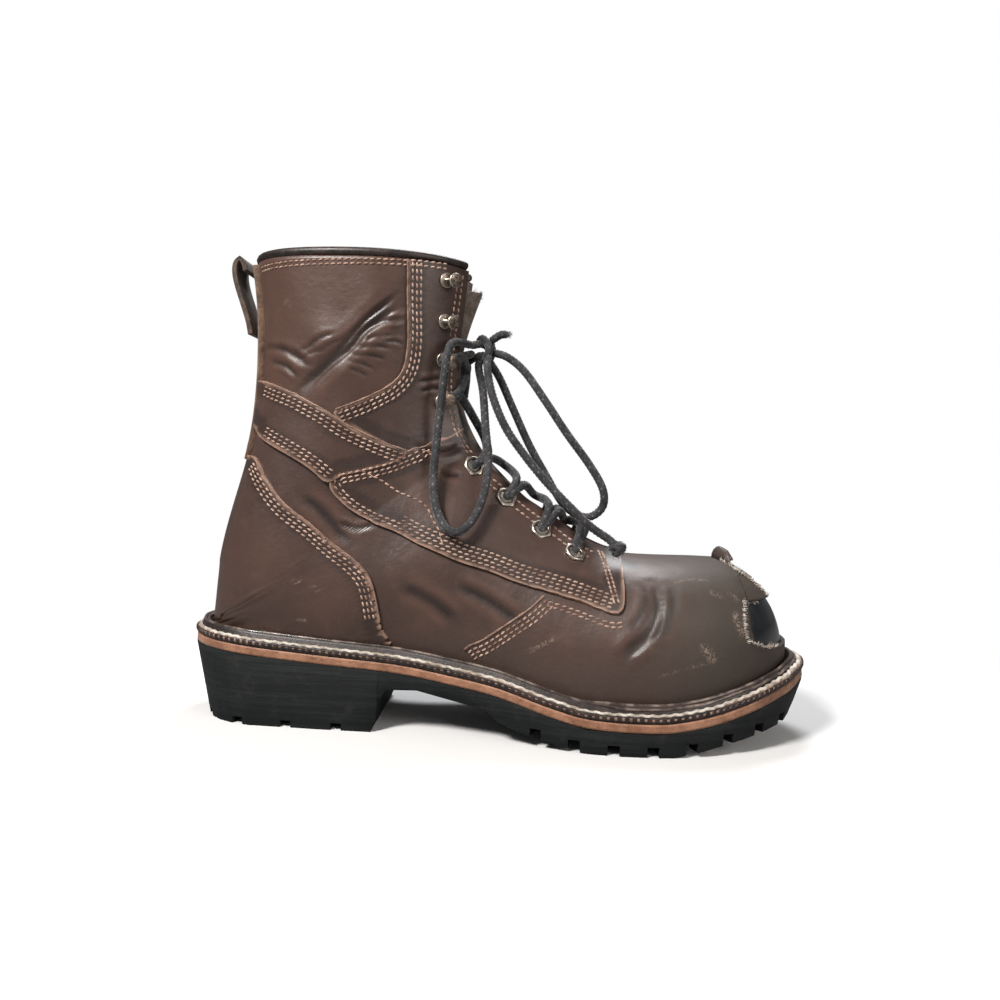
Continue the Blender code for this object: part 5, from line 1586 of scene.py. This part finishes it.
# Each torn edge: pixels of the portrait, the way its fibres lean (in the portrait's plane), fibres
TEARS = (
    (((716, 558), (722, 561), (731, 567), (739, 572), (746, 577), (757, 586), (767, 596)), (0.5, -0.7), 190),
    (((767, 598), (758, 601), (750, 602), (743, 604)), (0.1, 0.8), 60),
    (((743, 600), (743, 612), (744, 622), (745, 632), (747, 641)), (0.9, 0.1), 110),
    (((747, 641), (757, 645), (768, 648), (779, 646), (786, 640)), (0.3, -0.8), 90),
)
toe_tree = tree_of(skin, shell_cap, bridge)
fray = Fray(7)
right = TURN @ Vector((1, 0, 0))
below = TURN @ Vector((0, -1, 0))
for pixels, lean, count in TEARS:
    line = traced(pixels, toe_tree)
    if len(line) < 2:
        continue
    even = even_line(line, 0.4 * MM)
    for i in fray.rng.integers(0, len(even), count):
        root = Vector(even[i]) + Vector(fray.rng.uniform(-0.5, 0.5, 3)) * MM
        _, out, _, _ = toe_tree.find_nearest(root)
        way = right * lean[0] + below * lean[1] + out * fray.rng.uniform(0.0, 0.8)
        way += Vector(fray.rng.uniform(-0.9, 0.9, 3)) * 0.8
        fray.fibre(root + out * 0.15 * MM, way, fray.rng.uniform(0.7, 2.1) * MM,
                   fray.rng.uniform(0.25, 0.6) * MM,
                   out * fray.rng.uniform(-0.2, 0.35))
# A flap of the outer skin has curled up at the tear's top end
base_line = [spot(u, v, toe_tree)[0] for u, v in ((712, 557), (717, 559), (723, 561), (729, 565))]
flap_points, flap_faces = [], []
up = TURN @ Vector((0, 1, 0))
if all(base_line):
    for k in range(5):
        lift = (0, 2.0, 3.7, 4.9, 5.3)[k] * MM
        curl = (0, 0.3, 1.1, 2.4, 3.8)[k] * MM
        for i, place in enumerate(base_line):
            flap_share = (1, 1.05, 0.95, 0.55)[i]
            flap_points.append(tuple(place + up * lift * flap_share + right * (curl - 0.6 * MM * i * k / 4)))
    for k in range(4):
        for i in range(3):
            a = k * 4 + i
            flap_faces.append((a, a + 1, a + 5, a + 4))
    flap = piece("curled_flap", flap_points, flap_faces, leather, "oiled_leather")
    only(flap)
    body = flap.modifiers.new("thickness", "SOLIDIFY")
    body.thickness = 1.1 * MM
    body.offset = 0
    bpy.ops.object.modifier_apply(modifier=body.name)
    write_mark(flap, "dull", np.full(len(flap.data.vertices), 0.6))
    for k in range(60):
        i = fray.rng.integers(12, 16) if k % 2 else fray.rng.integers(0, 16)
        fray.fibre(Vector(flap_points[i if i > 11 else (i // 4) * 4 + 3]) , right * 0.4 + up * 0.3
                   + Vector(fray.rng.uniform(-0.9, 0.9, 3)), fray.rng.uniform(0.8, 1.8) * MM, 0.4 * MM,
                   (0, 0, 0))
piece("torn_fibres", fray.points, fray.faces, frayed_white, "tan_edge", smooth=False)
print("fibres", len(fray.faces) // 11)

# %% [markdown]
# ## Eyelets and hooks
# The lower four pairs are flat six-sided washers with a round hole, the upper four are hooks: a
# disc, a short stem that leans towards the throat, and a button-shaped head. Each is modelled
# once, by extruding and insetting a cylinder's top face, and copied to its eight places with a mesh
# of its own. The places and directions are those of the solids.

# %% Model one eyelet
def start_cylinder(sides, radius, depth):
    bpy.ops.object.select_all(action="DESELECT")
    bpy.ops.mesh.primitive_cylinder_add(vertices=sides, radius=radius, depth=depth,
                                        location=(0, 0, depth / 2))
    made = bpy.context.object
    made.data.transform(made.matrix_world)
    made.matrix_world = Matrix.Identity(4)
    bpy.ops.object.mode_set(mode="EDIT")
    bpy.ops.mesh.select_all(action="DESELECT")
    shape = bmesh.from_edit_mesh(made.data)
    for face in shape.faces:
        face.select_set(face.normal.z > 0.9)
    return made


def rise(height, scale=1.0):
    """Extrudes what is selected straight up and resizes it about the middle."""
    bpy.ops.mesh.extrude_region_move(TRANSFORM_OT_translate={"value": (0, 0, height)})
    if scale != 1.0:
        bpy.ops.transform.resize(value=(scale, scale, 1))


def bevelled(made, width, segments=2):
    bpy.ops.object.mode_set(mode="OBJECT")
    edge = made.modifiers.new("soft_edge", "BEVEL")
    edge.limit_method = "ANGLE"
    edge.angle_limit = math.radians(28)
    edge.width = width
    edge.segments = segments
    bpy.ops.object.modifier_apply(modifier=edge.name)
    bpy.ops.object.shade_smooth_by_angle(angle=math.radians(40))


eyelet = start_cylinder(24, 5.6 * MM, 1.0 * MM)
bpy.ops.mesh.inset(thickness=0.7 * MM)
rise(0.35 * MM, 0.93)
bpy.ops.mesh.inset(thickness=0.9 * MM)
rise(-0.25 * MM, 0.92)
rise(-1.2 * MM, 0.97)
shape = bmesh.from_edit_mesh(eyelet.data)
for vertex in shape.verts:
    if math.hypot(vertex.co.x, vertex.co.y) > 5.3 * MM:
        turn = math.atan2(vertex.co.y, vertex.co.x) % (math.pi / 3)
        side = math.cos(math.pi / 6) / math.cos(turn - math.pi / 6)
        vertex.co.x *= side
        vertex.co.y *= side
bevelled(eyelet, 0.14 * MM)
eyelet_points = coordinates(eyelet.data)
reach = np.hypot(eyelet_points[:, 0], eyelet_points[:, 1]) / MM
write_mark(eyelet, "rim", along(reach, 4.1, 4.9) * 0.9)
print("eyelet", len(eyelet.data.polygons), "faces")

# %% Model one hook
hook = start_cylinder(24, 3.7 * MM, 0.7 * MM)
rise(0.25 * MM, 0.86)
bpy.ops.mesh.inset(thickness=1.6 * MM)
rise(2.2 * MM, 0.95)
rise(1.0 * MM, 1.25)
rise(0.35 * MM, 1.85)
rise(0.55 * MM, 1.06)
rise(0.45 * MM, 0.84)
rise(0.2 * MM, 0.5)
bevelled(hook, 0.12 * MM)
hook_points = coordinates(hook.data)
reach = np.hypot(hook_points[:, 0], hook_points[:, 1]) / MM
write_mark(hook, "rim", along(reach, 3.1, 3.5) * 0.85)
HOOK_LEAN = 2.5 * MM
print("hook", len(hook.data.polygons), "faces, head at", round(hook_points[:, 2].max() / MM, 1), "mm")


# %% Set them in rows
def set_down(pattern, name, node, place, out, ahead, lean=0.0, drop=0.0):
    made = bpy.data.objects.new(name, pattern.data.copy())
    bpy.context.scene.collection.objects.link(made)
    out = Vector(out).normalized()
    ahead = (Vector(ahead) - out * out.dot(Vector(ahead))).normalized()
    turn = Matrix((ahead, out.cross(ahead), out)).transposed()
    for vertex in made.data.vertices:
        local = vertex.co.copy()
        local.x += lean * min(1, max(0, local.z - 1 * MM) / (4 * MM))
        vertex.co = Vector(place) + turn @ local - out * drop
    made.data.materials.append(nickel)
    made.data.update()
    return dress(made, "nickel", node)


def toward_throat(place, side):
    edge = THROAT_EDGE if side < 0 else THROAT_INNER
    near = min((Vector(p) for p in edge), key=lambda p: (p - Vector(place)).length)
    return near - Vector(place)


for word, side in (("outer", -1), ("inner", 1)):
    for i, (place, out) in enumerate(EYELETS[word]):
        set_down(eyelet, f"eyelet_{word}_ring_{i + 1}", f"eyelet_{word}_{i + 1}", Vector(place) * MM, out,
                 toward_throat(place, side), drop=0.35 * MM)
    for i, (place, out) in enumerate(HOOKS[word]):
        set_down(hook, f"hook_{word}_stud_{i + 1}", f"hook_{word}_{i + 1}", Vector(place) * MM, out,
                 toward_throat(place, side), lean=HOOK_LEAN, drop=0.35 * MM)
bpy.data.objects.remove(eyelet)
bpy.data.objects.remove(hook)
print("eight eyelets and eight hooks")

# %% [markdown]
# ## Tongue, collar roll, pull loop and lining
# The last pieces finish the opening. The tongue is soft leather whose top corner has worn to fluff,
# the collar ends in a dark rolled binding, and the pull loop is a folded strap of tan suede; the
# stitching on its sides is not modelled. All are rounded copies of their solids, a little fatter
# where they must close a gap that the solids leave between each other.

# %% Round the trim
tongue = rounded_copy("soft_tongue", "tongue", 2, crease_over=60)
tongue.data.materials.append(tongue_hide)
dress(tongue, "oiled_leather", "tongue")


def fatten(made, distance):
    made.data.vertices.foreach_set("co", (coordinates(made.data) + normals(made.data) * distance).ravel())
    made.data.update()


collar_roll = rounded_copy("collar_roll", "collar_binding", 2, crease_over=80)
fatten(collar_roll, 0.55 * MM)
collar_roll.data.materials.append(dark_leather)
dress(collar_roll, "dark_leather", "collar_binding")
pull_loop = rounded_copy("pull_strap", "pull_loop", 3, crease_over=60)
pull_loop.data.materials.append(loop_hide)
dress(pull_loop, "tan_edge", "pull_loop")
insole = rounded_copy("insole_board", "insole", 1, crease_over=60)
insole.data.materials.append(lining)
dress(insole, "leather_midsole", "insole")

# %% Fluff on the tongue's top corner
tongue_box = [coordinates(tongue.data).min(axis=0), coordinates(tongue.data).max(axis=0)]
fluff = Fray(11)
for vertex in tongue.data.vertices:
    if vertex.co.z > tongue_box[1][2] - 6 * MM and fluff.rng.random() < 0.5:
        way = Vector(vertex.normal) + Vector(fluff.rng.uniform(-0.8, 0.8, 3)) + Vector((0, 0, 0.4))
        fluff.fibre(vertex.co, way, fluff.rng.uniform(0.8, 2.2) * MM, 0.3 * MM, (0, 0, 0.1))
piece("tongue_fluff", fluff.points, fluff.faces, tan_suede, "oiled_leather", smooth=False)
print("tongue fluff", len(fluff.faces) // 11)

# %% [markdown]
# ## The frayed knot at the long end
# The long end has lost its tip and was tied in a hard overhand knot, from which loose strands stick
# out. The knot is three small turns of the same braid round the cord's last millimetres, and the
# strands are fibres like those of the torn toe.

# %% Tie the end knot and its loose strands
end_way = (Vector(FREE_END[-1]) - Vector(FREE_END[-2])).normalized()
end_place = Vector(FREE_END[-1]) * MM - end_way * 3.5 * MM
end_aside = end_way.orthogonal().normalized()
end_other = end_way.cross(end_aside)
turns = []
for i in range(34):
    angle = i / 33 * 2 * math.pi * 2.4
    wide = 2.5 * MM * (1 + 0.14 * math.sin(1.7 * angle))
    turns.append(end_place + (end_aside * math.cos(angle) + end_other * math.sin(angle)) * wide
                 + end_way * (2.3 * MM * math.sin(angle * 0.62)))
braid("end_knot", [tuple(p / MM) for p in turns], 1.55 * MM)
loose = Fray(23)
for _ in range(110):
    way = Vector(loose.rng.normal(size=3)).normalized()
    root = end_place + way * 3.2 * MM
    loose.fibre(root, way + end_way * 0.5, loose.rng.uniform(0.8, 2.4) * MM, 0.32 * MM, (0, 0, -0.2))
short_way = (Vector(SHORT_END[-1]) - Vector(SHORT_END[-2])).normalized()
short_tip = Vector(SHORT_END[-1]) * MM
for _ in range(60):
    way = short_way + Vector(loose.rng.uniform(-0.7, 0.7, 3))
    root = short_tip - short_way * 0.6 * MM + Vector(loose.rng.uniform(-1.2, 1.2, 3)) * MM
    loose.fibre(root, way, loose.rng.uniform(1.2, 3.0) * MM, 0.3 * MM, (0, 0, -0.1))
piece("loose_strands", loose.points, loose.faces, loose_grey, "black_lace", smooth=False)
print("loose strands", len(loose.faces) // 11)
